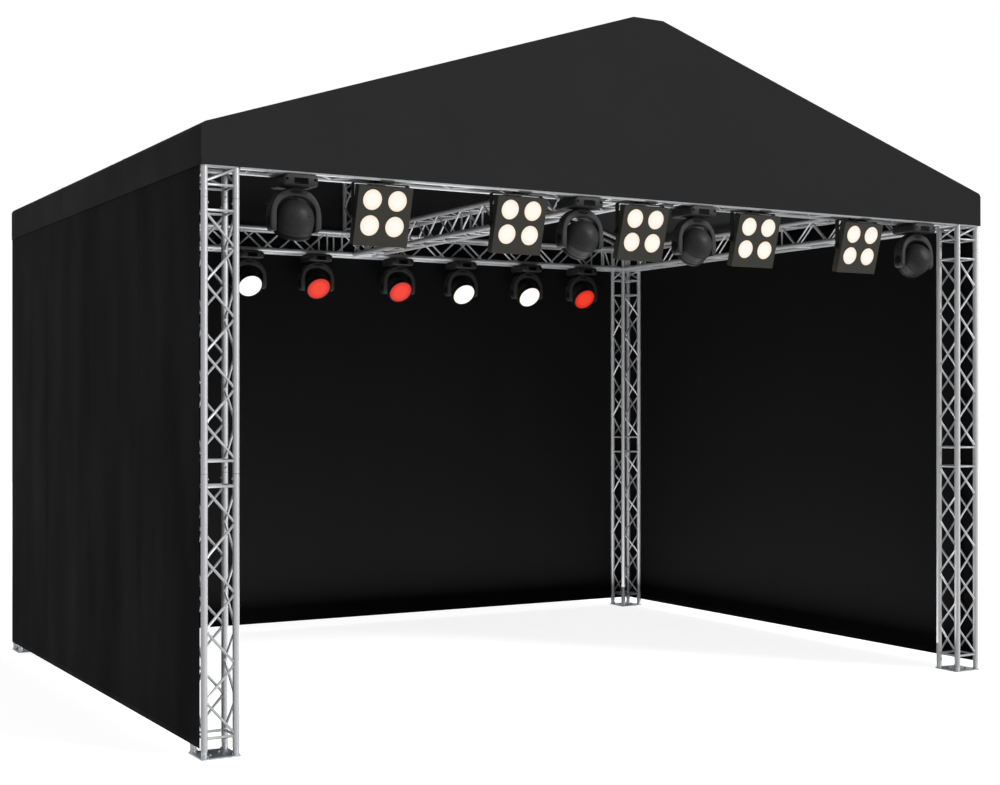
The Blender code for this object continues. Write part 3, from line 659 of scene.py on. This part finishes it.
def make_wall(node, start, end, outward):
    """A taut wall: a grid between two upright edges, pushed outwards below the valance by low ripples
    of depth * sin terms that die out at the edges, and out by the lap of each welded seam and hem."""
    start, end, outward = (np.array(values, float) for values in (start, end, outward))
    width = float(np.linalg.norm(end - start))
    seam_half = SEAM_HALF / width
    panels = round(width / PANEL_WIDTH)
    seams = np.arange(1, panels) / panels
    edges = (seam_half, 1 - seam_half)
    columns = with_edges(np.linspace(0, 1, 121), seams, seam_half)
    columns = np.unique(np.concatenate((columns, edges, np.array(edges) + (0.0006, -0.0006))))
    sides = (columns < edges[0] + 1e-9) | (columns > edges[1] - 1e-9)
    welded = np.maximum(raised(columns, seams, seam_half), sides)
    u = columns[None, :]
    foot = WALL_BOTTOM + np.array((HEM_HEIGHT, HEM_HEIGHT + 0.001))
    still = 4.25
    rows = np.linspace(WALL_BOTTOM, still, 61)
    heights = np.unique(np.concatenate((rows, foot, (VALANCE_BOTTOM, 4.40, WALL_TOP))))
    v = (heights[:, None] - WALL_BOTTOM) / (still - WALL_BOTTOM)
    inside = np.sin(math.pi * np.clip(v, 0, 1)) * np.sin(math.pi * u) ** 0.5
    broad = 0.3 * np.sin(math.tau * (4.0 * u + 0.6 * v))
    narrow = 0.2 * np.sin(math.tau * (9.0 * u - 1.3 * v) + 1.0)
    hemmed = heights < WALL_BOTTOM + HEM_HEIGHT + 1e-6
    ripple = 0.004 * inside * (0.5 + broad + narrow)
    push = ripple + 0.5 * SEAM_LIFT * np.maximum(welded, hemmed[:, None])
    grid = np.empty((len(heights), u.size, 3))
    grid[..., :2] = start + u[..., None] * (end - start) + push[..., None] * outward
    grid[..., 2] = heights[:, None]
    sheet = piece(f"{node}_fabric", ROOT, [(sheet_of(grid), WALL_FABRIC_PAINTED_SHADE)], "coated_fabric", [node], 30)
    thicken(sheet, 0.0)


# Lights

# Heights of the plane below the beams from which every light hangs, and of the moving lights' axis
LIGHT_TOP = BEAM_UNDER - 0.002
BASE_HEIGHT = 0.083
YOKE_GAP = 0.003
YOKE_CROWN = 0.252
TILT_AXIS = LIGHT_TOP - BASE_HEIGHT - YOKE_GAP - YOKE_CROWN
# Turn of a body that faces up, so that it faces the front
FRONT_TURN = np.array([[1, 0, 0], [0, 0, -1], [0, 1, 0]], float)

# Round details, as profiles for `turned`
SOCKET = ((0, 0, 0.016), (0.6, 0, 0.016), (0.7, 0, 0.0135), (1, 0, 0.0125))
FOOT_PAD = ((0, 0, 0.012), (1, -0.002, 0.011), (1, 0, 0.009))
NECK = ((0, 0, 0.062), (0.6, 0, 0.062), (0.65, 0, 0.050), (1, 0, 0.050))
RECESS_SHADE_PROFILE = ((0, 0, 0.9), (0, 0.001, 1.0), (1, -0.0006, 1.0), (1, 0, 0.9))
LEVER = ((0, 0, 0.006), (0.4, 0, 0.006), (0.45, 0, 0.013), (1, -0.002, 0.012), (1, 0, 0.009))
VENT = ((0, 0, 0.001), (0, 0.003, 0.0032), (1, -0.003, 0.0032), (1, 0, 0.001))
GLAND = ((0, 0, 0.015), (0.5, 0, 0.015), (0.55, 0, 0.011), (1, 0, 0.008))
KNOB = ((0, 0, 0.012), (0, 0.004, 0.012), (0, 0.005, 0.019), (1, -0.003, 0.019), (1, 0, 0.015))

# Moving head: its round body, the way into each of its seams as (step, depth), and its glass
HEAD_RADIUS = 0.1495
HEAD_REACH = 0.168
HEAD_POWER = 2.2
HEAD_SEAM = ((0.0, 0.0), (0.0015, 0.002), (0.0045, 0.002), (0.006, 0.0))
HEAD_SIDES = 56
GLASS_RADIUS = 0.1318
TOE = 0.075
YOKE_SIDES = 24

# Floodlight: half sizes, lens places, and the ways over its rim and its wells
FLOOD_HALF = (0.230, 0.2325)
FLOOD_DEPTH = 0.0548
FLOOD_PIVOT = 4.0206
FLOOD_TILT = math.radians(15.5)
FLOOD_MIDDLE = 0.020
FLOOD_PITCH = 1.217
FLOOD_CORNER = 0.004
LENS_STEP = (0.106, 0.100)
LENS_RISE = 0.026
FRONT_INSET = 0.0015
FRONT_THICKNESS = 0.0135
WELL = ((0.0825, 0.0), (0.0812, -0.0010), (0.0805, -0.0110))
RIM = ((0.0, 0.012), (0.0, 0.0015), (0.0008, 0.0004), (0.002, 0.0), (0.003, 0.0), (0.003, 0.012))
# Painted shade: a thin dark raised ring round each flood lens stands in for the shadow at the lens's edge
LENS_SHADE_RING = ((0.0797, -0.002), (0.0800, 0.0048), (0.0840, 0.0048), (0.0845, 0.0038), (0.0845, -0.002))
STRAP_HALF = 0.2363
STRAP_BEND = 0.012
HALF_STRAP = 0.003


def hook(x, row, beam_y):
    """A clamp's arc round a lower chord, from under it up its inner side and over the top."""
    angles = np.radians(np.linspace(235, 415, 19))
    radius = 0.0355
    y = beam_y + row * (HALF - radius * np.cos(angles))
    path = np.column_stack((np.full(len(angles), x), y, LOWER_CHORD + radius * np.sin(angles)))
    return swept(path, rounded(0.015, 0.0038, 0.0015, 2), (1.0, 0.0, 0.0))


def clamp(x, row, beam_y):
    """Hook, its foot down to the light and the wing bolt that closes it from the inner side."""
    chord_y = beam_y + row * HALF
    foot = slab(0.015, 0.020, LIGHT_TOP - 0.001, LOWER_CHORD - 0.031, 0.004, 0.001)
    inner = np.array((x, chord_y - row * 0.034, LOWER_CHORD - 0.004))
    tip = inner - (0, row * 0.040, 0)
    bolt = turned(inner, tip, ((0, 0, 0.005), (1, -0.012, 0.005), (1, -0.011, 0.009), (1, 0, 0.008)), 10)
    wings = placed(slab(0.022, 0.0025, -0.007, 0.007, 0.002, 0.001), at=tip)
    return joined(hook(x, row, beam_y), placed(foot, at=(x, chord_y, 0)), bolt, wings)


def hook_place(x):
    """The place nearest to x that stays clear of the nodes of the laces between the lower chords."""
    zigzags, rungs = segments(LONG_BREAKS, LONG_BAYS)
    nodes = np.concatenate([rungs, *(np.linspace(low, high, count + 1) for low, high, count in zigzags)])
    places = x + np.linspace(-0.13, 0.13, 53)
    room = np.abs(places[:, None] - nodes).min(axis=1)
    return float(places[np.argmin(np.abs(places - x) + 4 * np.clip(0.045 - room, 0, None))])


def lens(radius, bulge, sides, rings=9):
    """A round glass along Z: low concentric steps on a shallow dome, z = bulge * (1 - (r / R)^2)."""
    share = np.linspace(1, 0.02, rings)
    step = 0.0006 * (np.arange(rings) % 2)
    front = [(1, bulge * (1 - s * s) + bump, radius * s) for s, bump in zip(share, step)]
    return turned((0, 0, -0.006), (0, 0, 0), [(0, 0, radius), *front], sides)


def mark_rim(obj, centre, radius):
    """Each point's distance from the nearest lens centre over the lens radius, as the rim attribute."""
    points = np.empty(len(obj.data.vertices) * 3, np.float32)
    obj.data.vertices.foreach_get("co", points)
    away = np.linalg.norm(points.reshape(-1, 1, 3) - np.atleast_2d(centre), axis=-1).min(axis=1)
    layer = obj.data.attributes.new("rim", "FLOAT", "POINT")
    layer.data.foreach_set("value", np.clip(away / radius, 0, 1).astype(np.float32))


def make_light_base(name, x, y, hooks, beam_y):
    """Hung housing with sloped shoulders, a display window with its keys on the front, sockets on the
    back, two near-black discs of painted shade for the screw wells, feet, and two clamps."""
    levels = (
        (-BASE_HEIGHT, 0.130, 0.140), (-0.081, 0.1325, 0.1425), (-0.074, 0.139, 0.149),
        (-0.071, 0.140, 0.150), (-0.027, 0.140, 0.150), (-0.022, 0.1385, 0.1495),
        (-0.003, 0.120, 0.1475), (0.0, 0.116, 0.144),
    )
    at = np.array((x, y, LIGHT_TOP))
    body = placed(stacked(levels, 0.022, 5), at=at)
    front = at + (0, -0.150, -0.0475)
    window = placed(slab(0.053, 0.021, -0.004, 0.0008, 0.004, 0.0006), FRONT_TURN, front)
    rim = placed(slab(0.058, 0.024, -0.006, 0.0004, 0.006, 0.0004), FRONT_TURN, front)
    key = placed(slab(0.005, 0.0035, 0, 0.0022, 0.002, 0.0005), FRONT_TURN, front)
    keys = [placed(key, at=(dx, 0, -0.014)) for dx in (-0.036, -0.022)]
    # Painted shade: the screw wells are near-black discs a little proud of the front, dark where a recess
    # would lie in shade
    wells = [
        buttons(at + (dx, -0.148, -0.036), (0, -0.0028, 0), 0.011, 0.0005, 0.0095, 16)
        for dx in (-0.112, 0.112)
    ]
    sockets = [
        turned(at + (dx, 0.147, -0.050), at + (dx, 0.160, -0.050), SOCKET, 20)
        for dx in (-0.10, -0.06, 0.06, 0.10)
    ]
    feet = [
        turned(at + (dx, dy, -0.004), at + (dx, dy, 0.0015), FOOT_PAD, 12)
        for dx in (-0.09, 0.09)
        for dy in (-0.085, 0.085)
    ]
    clamps = [clamp(hook_x, row, beam_y) for hook_x, row in hooks]
    parts = [
        (body, SHELL),
        (joined(rim, *keys), BEZEL_AND_RECESS_SHADE),
        (joined(window, *wells), ACRYLIC_AND_WELL_SHADE),
        (joined(*sockets), BLACKENED),
        (joined(*feet), RUBBER_AND_LENS_SHADE),
        (joined(*clamps), BLACKENED),
    ]
    piece(f"{name}_base_housing", ROOT, parts, "moulded_housing", [f"{name}_base"])


def signed_power(values, power):
    return np.sign(values) * np.abs(values) ** power


def yoke_outline(half, springing, height, power):
    """One side of the fork, from the left toe over the crown to the right toe: straight legs up to
    the springing, then x = half * cos^(2/power), z = springing + (height - springing) * sin^(2/power)."""
    leg = np.linspace(0, 1, 13)[:-1]
    left = np.column_stack((np.full(len(leg), -half), -TOE + leg * (springing + TOE)))
    angles = np.linspace(math.pi, 0, 41)
    x = half * signed_power(np.cos(angles), 2 / power)
    z = springing + (height - springing) * signed_power(np.sin(angles), 2 / power)
    return np.concatenate((left, np.column_stack((x, z)), left[::-1] * (-1, 1)))


def make_yoke(name, x, y):
    """A horseshoe fork: at each step between its inner and outer outline stands a section of
    |a|^n + |b|^n = 1, so that its edges are round. Toes draw in below the tilt axis."""
    outer = yoke_outline(0.205, 0.020, YOKE_CROWN, 2.25)
    inner = yoke_outline(0.1535, 0.060, 0.184, 2.2)
    toe = np.clip((TOE + outer[:, 1]) / 0.050, 0, 1)
    squeeze = np.sqrt(1 - (1 - toe) ** 2)
    reach = (outer[:, 0] - inner[:, 0]) * (0.45 + 0.55 * squeeze)
    outer[:, 0] = np.where(toe < 1, inner[:, 0] + reach, outer[:, 0])
    middle, arm = (outer + inner) / 2, (outer - inner) / 2
    angles = math.tau * (np.arange(YOKE_SIDES) + 0.5) / YOKE_SIDES
    a = signed_power(np.cos(angles), 2 / 7)
    b = signed_power(np.sin(angles), 2 / 7)
    depth = 0.055 * (0.80 + 0.20 * squeeze)
    rings = np.stack((middle[:, :1] + arm[:, :1] * a, depth[:, None] * b, middle[:, 1:] + arm[:, 1:] * a), -1)
    neck = turned((0, 0, 0.244), (0, 0, 0.2548), NECK, 32)
    oval = np.array([[0.052, 0, 0], [0, 0, -1], [0, 0.013, 0]])
    # Painted shade: a dark oval standing just proud of the crown, where the fork has an oval recess
    recess_shade = placed(turned((0, 0, 0), (0, 0, 0.003), RECESS_SHADE_PROFILE, 28), oval, (0, -0.0525, 0.220))
    caps, screws = [], []
    for side in (-1, 1):
        caps.append(buttons((side * 0.2035, 0, 0), (side * 0.0035, 0, 0), 0.040, 0.001, 0.037, 28))
        for height in (-0.055, 0.075):
            spot = (side * 0.1982, 0, height)
            screws.append(buttons(spot, (side * 0.0078, 0, 0), 0.006, 0.0006, 0.005, 10))
    lever = turned((-0.203, -0.02, 0.114), (-0.227, -0.02, 0.114), LEVER, 14)
    parts = [
        (joined(lofts(rings[None]), neck), YOKE),
        (joined(recess_shade, *caps, lever), BEZEL_AND_RECESS_SHADE),
        (joined(*screws), BLACKENED),
    ]
    body = f"{name}_yoke"
    piece(f"{name}_fork", body, parts, "moulded_yoke", [body], at=(x, y, TILT_AXIS))


def make_head(name, x, y, tilt, lamp):
    """Round head about its optical axis: the back is a radius of R * (1 - t^n)^(1/n), then a band with
    seams, a bezel and the stepped front glass. Vents, screws and bearings are on it."""
    shares = np.sin(np.linspace(math.pi / 2 - 0.02, 0.22, 17))
    back = [
        (0, -HEAD_REACH * share, HEAD_RADIUS * (1 - share ** HEAD_POWER) ** (1 / HEAD_POWER))
        for share in shares
    ]
    band = [(0, start + step, HEAD_RADIUS - depth) for start in (-0.030, 0.030) for step, depth in HEAD_SEAM]
    band.append((0, 0.058, HEAD_RADIUS - 0.0008))
    ring = [
        (0, 0.050, HEAD_RADIUS - 0.004), (0, 0.0595, HEAD_RADIUS), (0, 0.075, 0.1480),
        (0, 0.088, 0.1445), (0, 0.095, 0.1400), (0, 0.096, 0.1370), (0, 0.0955, 0.1330), (0, 0.089, 0.1320),
    ]
    origin, ahead = (0, 0, 0), (0, 0, 1)
    shell = turned(origin, ahead, back + band, HEAD_SIDES)
    bezel = turned(origin, ahead, ring, HEAD_SIDES)
    angles = math.tau * np.arange(18) / 18
    circle = at_height(np.column_stack((np.cos(angles), np.sin(angles))), 0.0)
    slots = turned(circle * 0.060 + (0, 0, -0.1562), circle * 0.092 + (0, 0, -0.1370), VENT, 6)
    spots = circle[::3]
    ways = (spots + (0, 0, -1)) * 0.0075
    screws = buttons(spots * 0.1240 + (0, 0, -0.096), ways, 0.005, 0.0006, 0.004, 8)
    bearings = [rods((side * 0.130, 0, 0), (side * 0.157, 0, 0), 0.034, 24) for side in (-1, 1)]
    parts = [(shell, SHELL), (joined(bezel, slots), BEZEL_AND_RECESS_SHADE), (joined(screws, *bearings), BLACKENED)]
    body = f"{name}_head"
    place = {"turn": tipped(tilt) @ FRONT_TURN, "at": np.array((x, y, TILT_AXIS))}
    piece(f"{name}_shell", body, parts, "moulded_housing", [body], **place)
    glass = placed(lens(GLASS_RADIUS, 0.004, 48), at=(0, 0, 0.0905))
    front_glass = piece(f"{name}_lens", body, [(glass, lamp)], "lens_glass", crease=60, **place)
    mark_rim(front_glass, place["at"] + place["turn"] @ (0, 0, 0.0925), GLASS_RADIUS)


def subdivided(corners, steps=12):
    """A closed outline through corners, with the same count of steps on each side."""
    corners = np.asarray(corners, float)[:, None]
    share = np.arange(steps)[:, None] / steps
    return (corners + share * (np.roll(corners, -1, axis=0) - corners)).reshape(-1, 2)


def flood_front():
    """The front plate with four wells, one closed body: round each lens, rings go from its quarter's
    edge, projected on a circle of radius r, over the lip and down the well. A wall and a back close it."""
    half_x, half_z = np.array(FLOOD_HALF) - FRONT_INSET
    columns, rows = (-half_x, 0.0, half_x), (-half_z, LENS_RISE, half_z)
    shapes = []
    for i in (0, 1):
        for j in (0, 1):
            (left, right), (low, high) = columns[i : i + 2], rows[j : j + 2]
            square = subdivided(((left, low), (right, low), (right, high), (left, high)))
            centre = np.array(((2 * i - 1) * LENS_STEP[0], (2 * j - 1) * LENS_STEP[1] + LENS_RISE))
            circle = (square - centre) / np.linalg.norm(square - centre, axis=1, keepdims=True)
            rings = [at_height(square, 0.0)]
            rings += [at_height(centre + circle * radius, height) for radius, height in WELL]
            points, faces = lofts(np.array(rings)[None])
            shapes.append((points, [faces[0], faces[2]]))
    way_round = ((0, 0), (1, 0), (2, 0), (2, 1), (2, 2), (1, 2), (0, 2), (0, 1))
    outline = subdivided([(columns[i], rows[j]) for i, j in way_round])
    points, faces = lofts(np.array([at_height(outline, height) for height in (0.0, -FRONT_THICKNESS)])[None])
    return joined(*shapes, (points, [faces[0], faces[2]]))


def make_flood_housing(name, pivot):
    """Square housing with four lamps, cooling fins and a gland behind."""
    plate = placed(flood_front(), at=(0, 0, FLOOD_DEPTH - 0.0004))
    half_x, half_z = FLOOD_HALF
    levels = ((-0.015, 0.004), (-0.0145, 0.0005), (FLOOD_DEPTH - 0.012, 0.0))
    shell = stacked([(height, half_x - inset, half_z - inset) for height, inset in levels], FLOOD_CORNER, 2)
    rim = hoop(np.array([
        at_height(rounded(half_x - inset, half_z - inset, FLOOD_CORNER - inset, 2), FLOOD_DEPTH - drop)
        for inset, drop in RIM
    ]))
    back = stacked(((-0.040, 0.205, 0.205), (-0.015, 0.212, 0.212)), 0.006, 2)
    fin = slab(0.0016, 0.180, -0.055, -0.030, 0.0012, 0.0006)
    fins = [placed(fin, at=(fin_x, 0, 0)) for fin_x in np.linspace(-0.165, 0.165, 19)]
    gland = turned((0.12, -0.15, -0.038), (0.12, -0.15, -0.066), GLAND, 16)
    quarters = np.array([(i, j) for i in (-1, 1) for j in (-1, 1)])
    spots = at_height(quarters * (0.217, 0.219), 0.0530)
    screws = [buttons(spot, (0, 0, 0.0026), 0.0055, 0.0006, 0.0045, 10) for spot in spots]
    centres = at_height(quarters * LENS_STEP + (0, LENS_RISE), FLOOD_DEPTH - 0.004)
    lamps = [placed(lens(0.0795, 0.003, 36, 6), at=centre) for centre in centres]
    # Dark rings of painted shade round the lenses
    lens_shade_rings = [placed(hoop(circles(LENS_SHADE_RING, 48)), at=centre) for centre in centres]
    parts = [
        (joined(plate, rim, shell, back, *fins), POWDER),
        (joined(gland, *lens_shade_rings), RUBBER_AND_LENS_SHADE),
        (joined(*screws), BLACKENED),
    ]
    body = f"{name}_housing"
    place = {"turn": tipped(FLOOD_TILT) @ FRONT_TURN, "at": pivot}
    piece(f"{name}_case", body, parts, "painted_housing", [body], **place)
    glass = piece(f"{name}_lenses", body, [(joined(*lamps), WARM_LAMP)], "lens_glass", crease=60, **place)
    mark_rim(glass, centres @ place["turn"].T + pivot, 0.0800)


def make_flood_bracket(name, pivot):
    """A flat strap bent over the housing, its bearer across both lower chords, the clamps and a knob
    on each side."""
    x, y, height = pivot
    side_x = STRAP_HALF - HALF_STRAP
    ceiling = LIGHT_TOP - HALF_STRAP
    turn = np.linspace(0, math.pi / 2, 6)
    bend = np.column_stack((
        -side_x + STRAP_BEND - STRAP_BEND * np.cos(turn),
        ceiling - STRAP_BEND + STRAP_BEND * np.sin(turn),
    ))
    left = np.concatenate(([(-side_x, height - 0.030), (-side_x, height + 0.1)], bend))
    outline = np.concatenate((left, [(0, ceiling)], left[::-1] * (-1, 1)))
    path = np.column_stack((outline[:, 0] + x, np.full(len(outline), y), outline[:, 1]))
    strap = swept(path, rounded(0.025, 0.0029, 0.0015, 2), (0.0, 1.0, 0.0))
    hook_x = hook_place(x)
    bearer = placed(slab(0.060, TRUSS_HALF, LIGHT_TOP - 0.006, LIGHT_TOP, 0.004, 0.001), at=(hook_x, y, 0))
    clamps = [clamp(hook_x, row, y) for row in (-1, 1)]
    inner, outer = np.array(((STRAP_HALF - 0.002, 0, 0), (STRAP_HALF + 0.020, 0, 0)))
    knobs = [turned(pivot + side * inner, pivot + side * outer, KNOB, 10) for side in (-1, 1)]
    parts = [(joined(strap, bearer), BRACKET), (joined(*clamps), BLACKENED), (joined(*knobs), BEZEL_AND_RECESS_SHADE)]
    piece(f"{name}_strap", ROOT, parts, "painted_bracket", [f"{name}_bracket"])


# Studio

def seen_directly(tree):
    """A value of 1 for the camera and for what glossy and clear faces show, 0 for all other rays."""
    seen = add(tree, "LightPath", {}).outputs
    share = seen["Is Camera Ray"]
    for ray in ("Is Glossy Ray", "Is Transmission Ray"):
        share = add(tree, "Math", {0: share, 1: seen[ray]}, operation="MAXIMUM").outputs[0]
    return share


def make_stage():
    """White floor and world for the camera and for reflections, a softer light for all else."""
    bpy.ops.mesh.primitive_plane_add(size=80, location=(0, 0, -0.001))
    floor = bpy.context.object
    floor.name = "studio_floor"
    material, tree, shader = new_material(
        "white studio floor", Base_Color=srgb("#c8c8c8"), Roughness=0.9, Specular_IOR_Level=0.0
    )
    share = seen_directly(tree)
    glow = add(tree, "Emission", {"Color": (1, 1, 1, 1), "Strength": 0.86})
    nothing = add(tree, "Emission", {"Strength": 0.0})
    extra = add(tree, "MixShader", {0: share, 1: nothing.outputs[0], 2: glow.outputs[0]})
    both = add(tree, "AddShader", {0: shader.outputs[0], 1: extra.outputs[0]})
    tree.links.new(both.outputs[0], tree.nodes["Material Output"].inputs["Surface"])
    floor.data.materials.append(material)

    world = bpy.data.worlds.new("white studio")
    bpy.context.scene.world = world
    world.use_nodes = True
    tree = world.node_tree
    share = seen_directly(tree)
    strength = add(tree, "MapRange", {"Value": share, "To Min": 0.33, "To Max": 1.0})
    background = tree.nodes["Background"]
    background.inputs["Color"].default_value = (1, 1, 1, 1)
    tree.links.new(strength.outputs[0], background.inputs["Strength"])


def place_in_scene(name, data, location, turn):
    """An object for a light or camera, at its place and turned by angles in degrees."""
    obj = bpy.data.objects.new(name, data)
    bpy.context.scene.collection.objects.link(obj)
    obj.location = location
    obj.rotation_euler = [math.radians(angle) for angle in turn]
    return obj


def make_lamp(name, kind, energy, turn, location=(0, 0, 0), **settings):
    lamp = bpy.data.lights.new(name, kind)
    lamp.energy = energy
    for setting, value in settings.items():
        setattr(lamp, setting, value)
    return place_in_scene(name, lamp, location, turn)


def make_camera():
    """Level camera, 2.55 m up and left of the open front, as the photograph has it."""
    photo_width, focal_pixels, sensor = 1000, 1575.8, 36.0
    camera = bpy.data.cameras.new("camera")
    camera.sensor_width = sensor
    camera.lens = focal_pixels * sensor / photo_width
    camera.shift_x = -0.0118
    camera.shift_y = 0.0131
    camera.clip_end = 200.0
    place = (-7.641, -13.904, 2.552)
    bpy.context.scene.camera = place_in_scene("camera", camera, place, (90, 0, -30.074))


make_camera()
make_stage()
make_lamp("key light", "SUN", 2.15, (57, 0, 38), angle=math.radians(12))
make_lamp("low side light", "SUN", 0.9, (80, 0, 40), angle=math.radians(14))
# Soft light from a wide panel near the ground inside, for the metal under the roof
panel = make_lamp(
    "fill panel", "AREA", 360.0, (180, 0, 0), (0, 0, 0.25), shape="RECTANGLE", size=7.3, size_y=5.5
)
panel.visible_camera = False

for row, y in (("front", -CORNER_Y), ("rear", CORNER_Y)):
    for side, x in (("left", -CORNER_X), ("right", CORNER_X)):
        make_tower(f"{row}_{side}", x, y)
        make_base_plate(f"{row}_{side}", x, y)

for name, y, turn in (("front_beam", -CORNER_Y, ALONG_X), ("rear_beam", CORNER_Y, ALONG_X_BACK)):
    make_beam(name, LONG, LONG_BREAKS, LONG_BAYS, CROSSWISE_TUBE, turn=turn, at=(0, y, BEAM_AXIS))
for name, x, z, sides in (
    ("left_beam", -CORNER_X, BEAM_AXIS, BOX),
    ("middle_beam", 0.0, BEAM_AXIS, BOX),
    ("right_beam", CORNER_X, BEAM_AXIS, BOX),
    ("ridge_beam", 0.0, RIDGE_AXIS, LADDER),
):
    make_beam(name, SHORT, SHORT_BREAKS, SHORT_BAYS, LENGTHWISE_TUBE, sides, turn=ALONG_Y, at=(x, 0, z))
make_gable_frame("front_gable_frame", -CORNER_Y)
make_gable_frame("rear_gable_frame", CORNER_Y)
make_cover()
for node, way in (("left_wall", -1), ("right_wall", 1)):
    start, end = ((way * SIDE_WALL_X, y) for y in SIDE_WALL_ENDS)
    make_wall(node, start, end, (way, 0))
make_wall("rear_wall", (-REAR_WALL_HALF, REAR_WALL_Y), (REAR_WALL_HALF, REAR_WALL_Y), (0, 1))

# Each light's rest tilt in degrees down from level, and the glow of its glass
FRONT_LIGHTS = [(tilt, DIM_RED_LAMP) for tilt in (120, 147, 147, 160)]
REAR_LIGHTS = [(36, lamp) for lamp in (WHITE_LAMP, RED_LAMP, RED_LAMP, WHITE_LAMP, WHITE_LAMP, RED_LAMP)]
for row, y, beam_y, lights in (
    ("front", -CORNER_Y, -CORNER_Y, FRONT_LIGHTS),
    ("rear", CORNER_Y - HALF, CORNER_Y, REAR_LIGHTS),
):
    for i, (tilt, lamp) in enumerate(lights, 1):
        name = f"{row}_light_{i}"
        low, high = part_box(f"{name}_yoke")
        x = (low.x + high.x) / 2
        if row == "front":
            hooks = [(hook_place(x), side) for side in (-1, 1)]
        else:
            hooks = [(hook_place(x + step), -1) for step in (-0.08, 0.08)]
        make_light_base(name, x, y, hooks, beam_y)
        make_yoke(name, x, y)
        make_head(name, x, y, math.radians(tilt), lamp)
for i in range(5):
    pivot = np.array((FLOOD_MIDDLE + FLOOD_PITCH * (i - 2), -CORNER_Y, FLOOD_PIVOT))
    make_flood_housing(f"flood_{i + 1}", pivot)
    make_flood_bracket(f"flood_{i + 1}", pivot)

bpy.context.scene.view_settings.view_transform = "Standard"
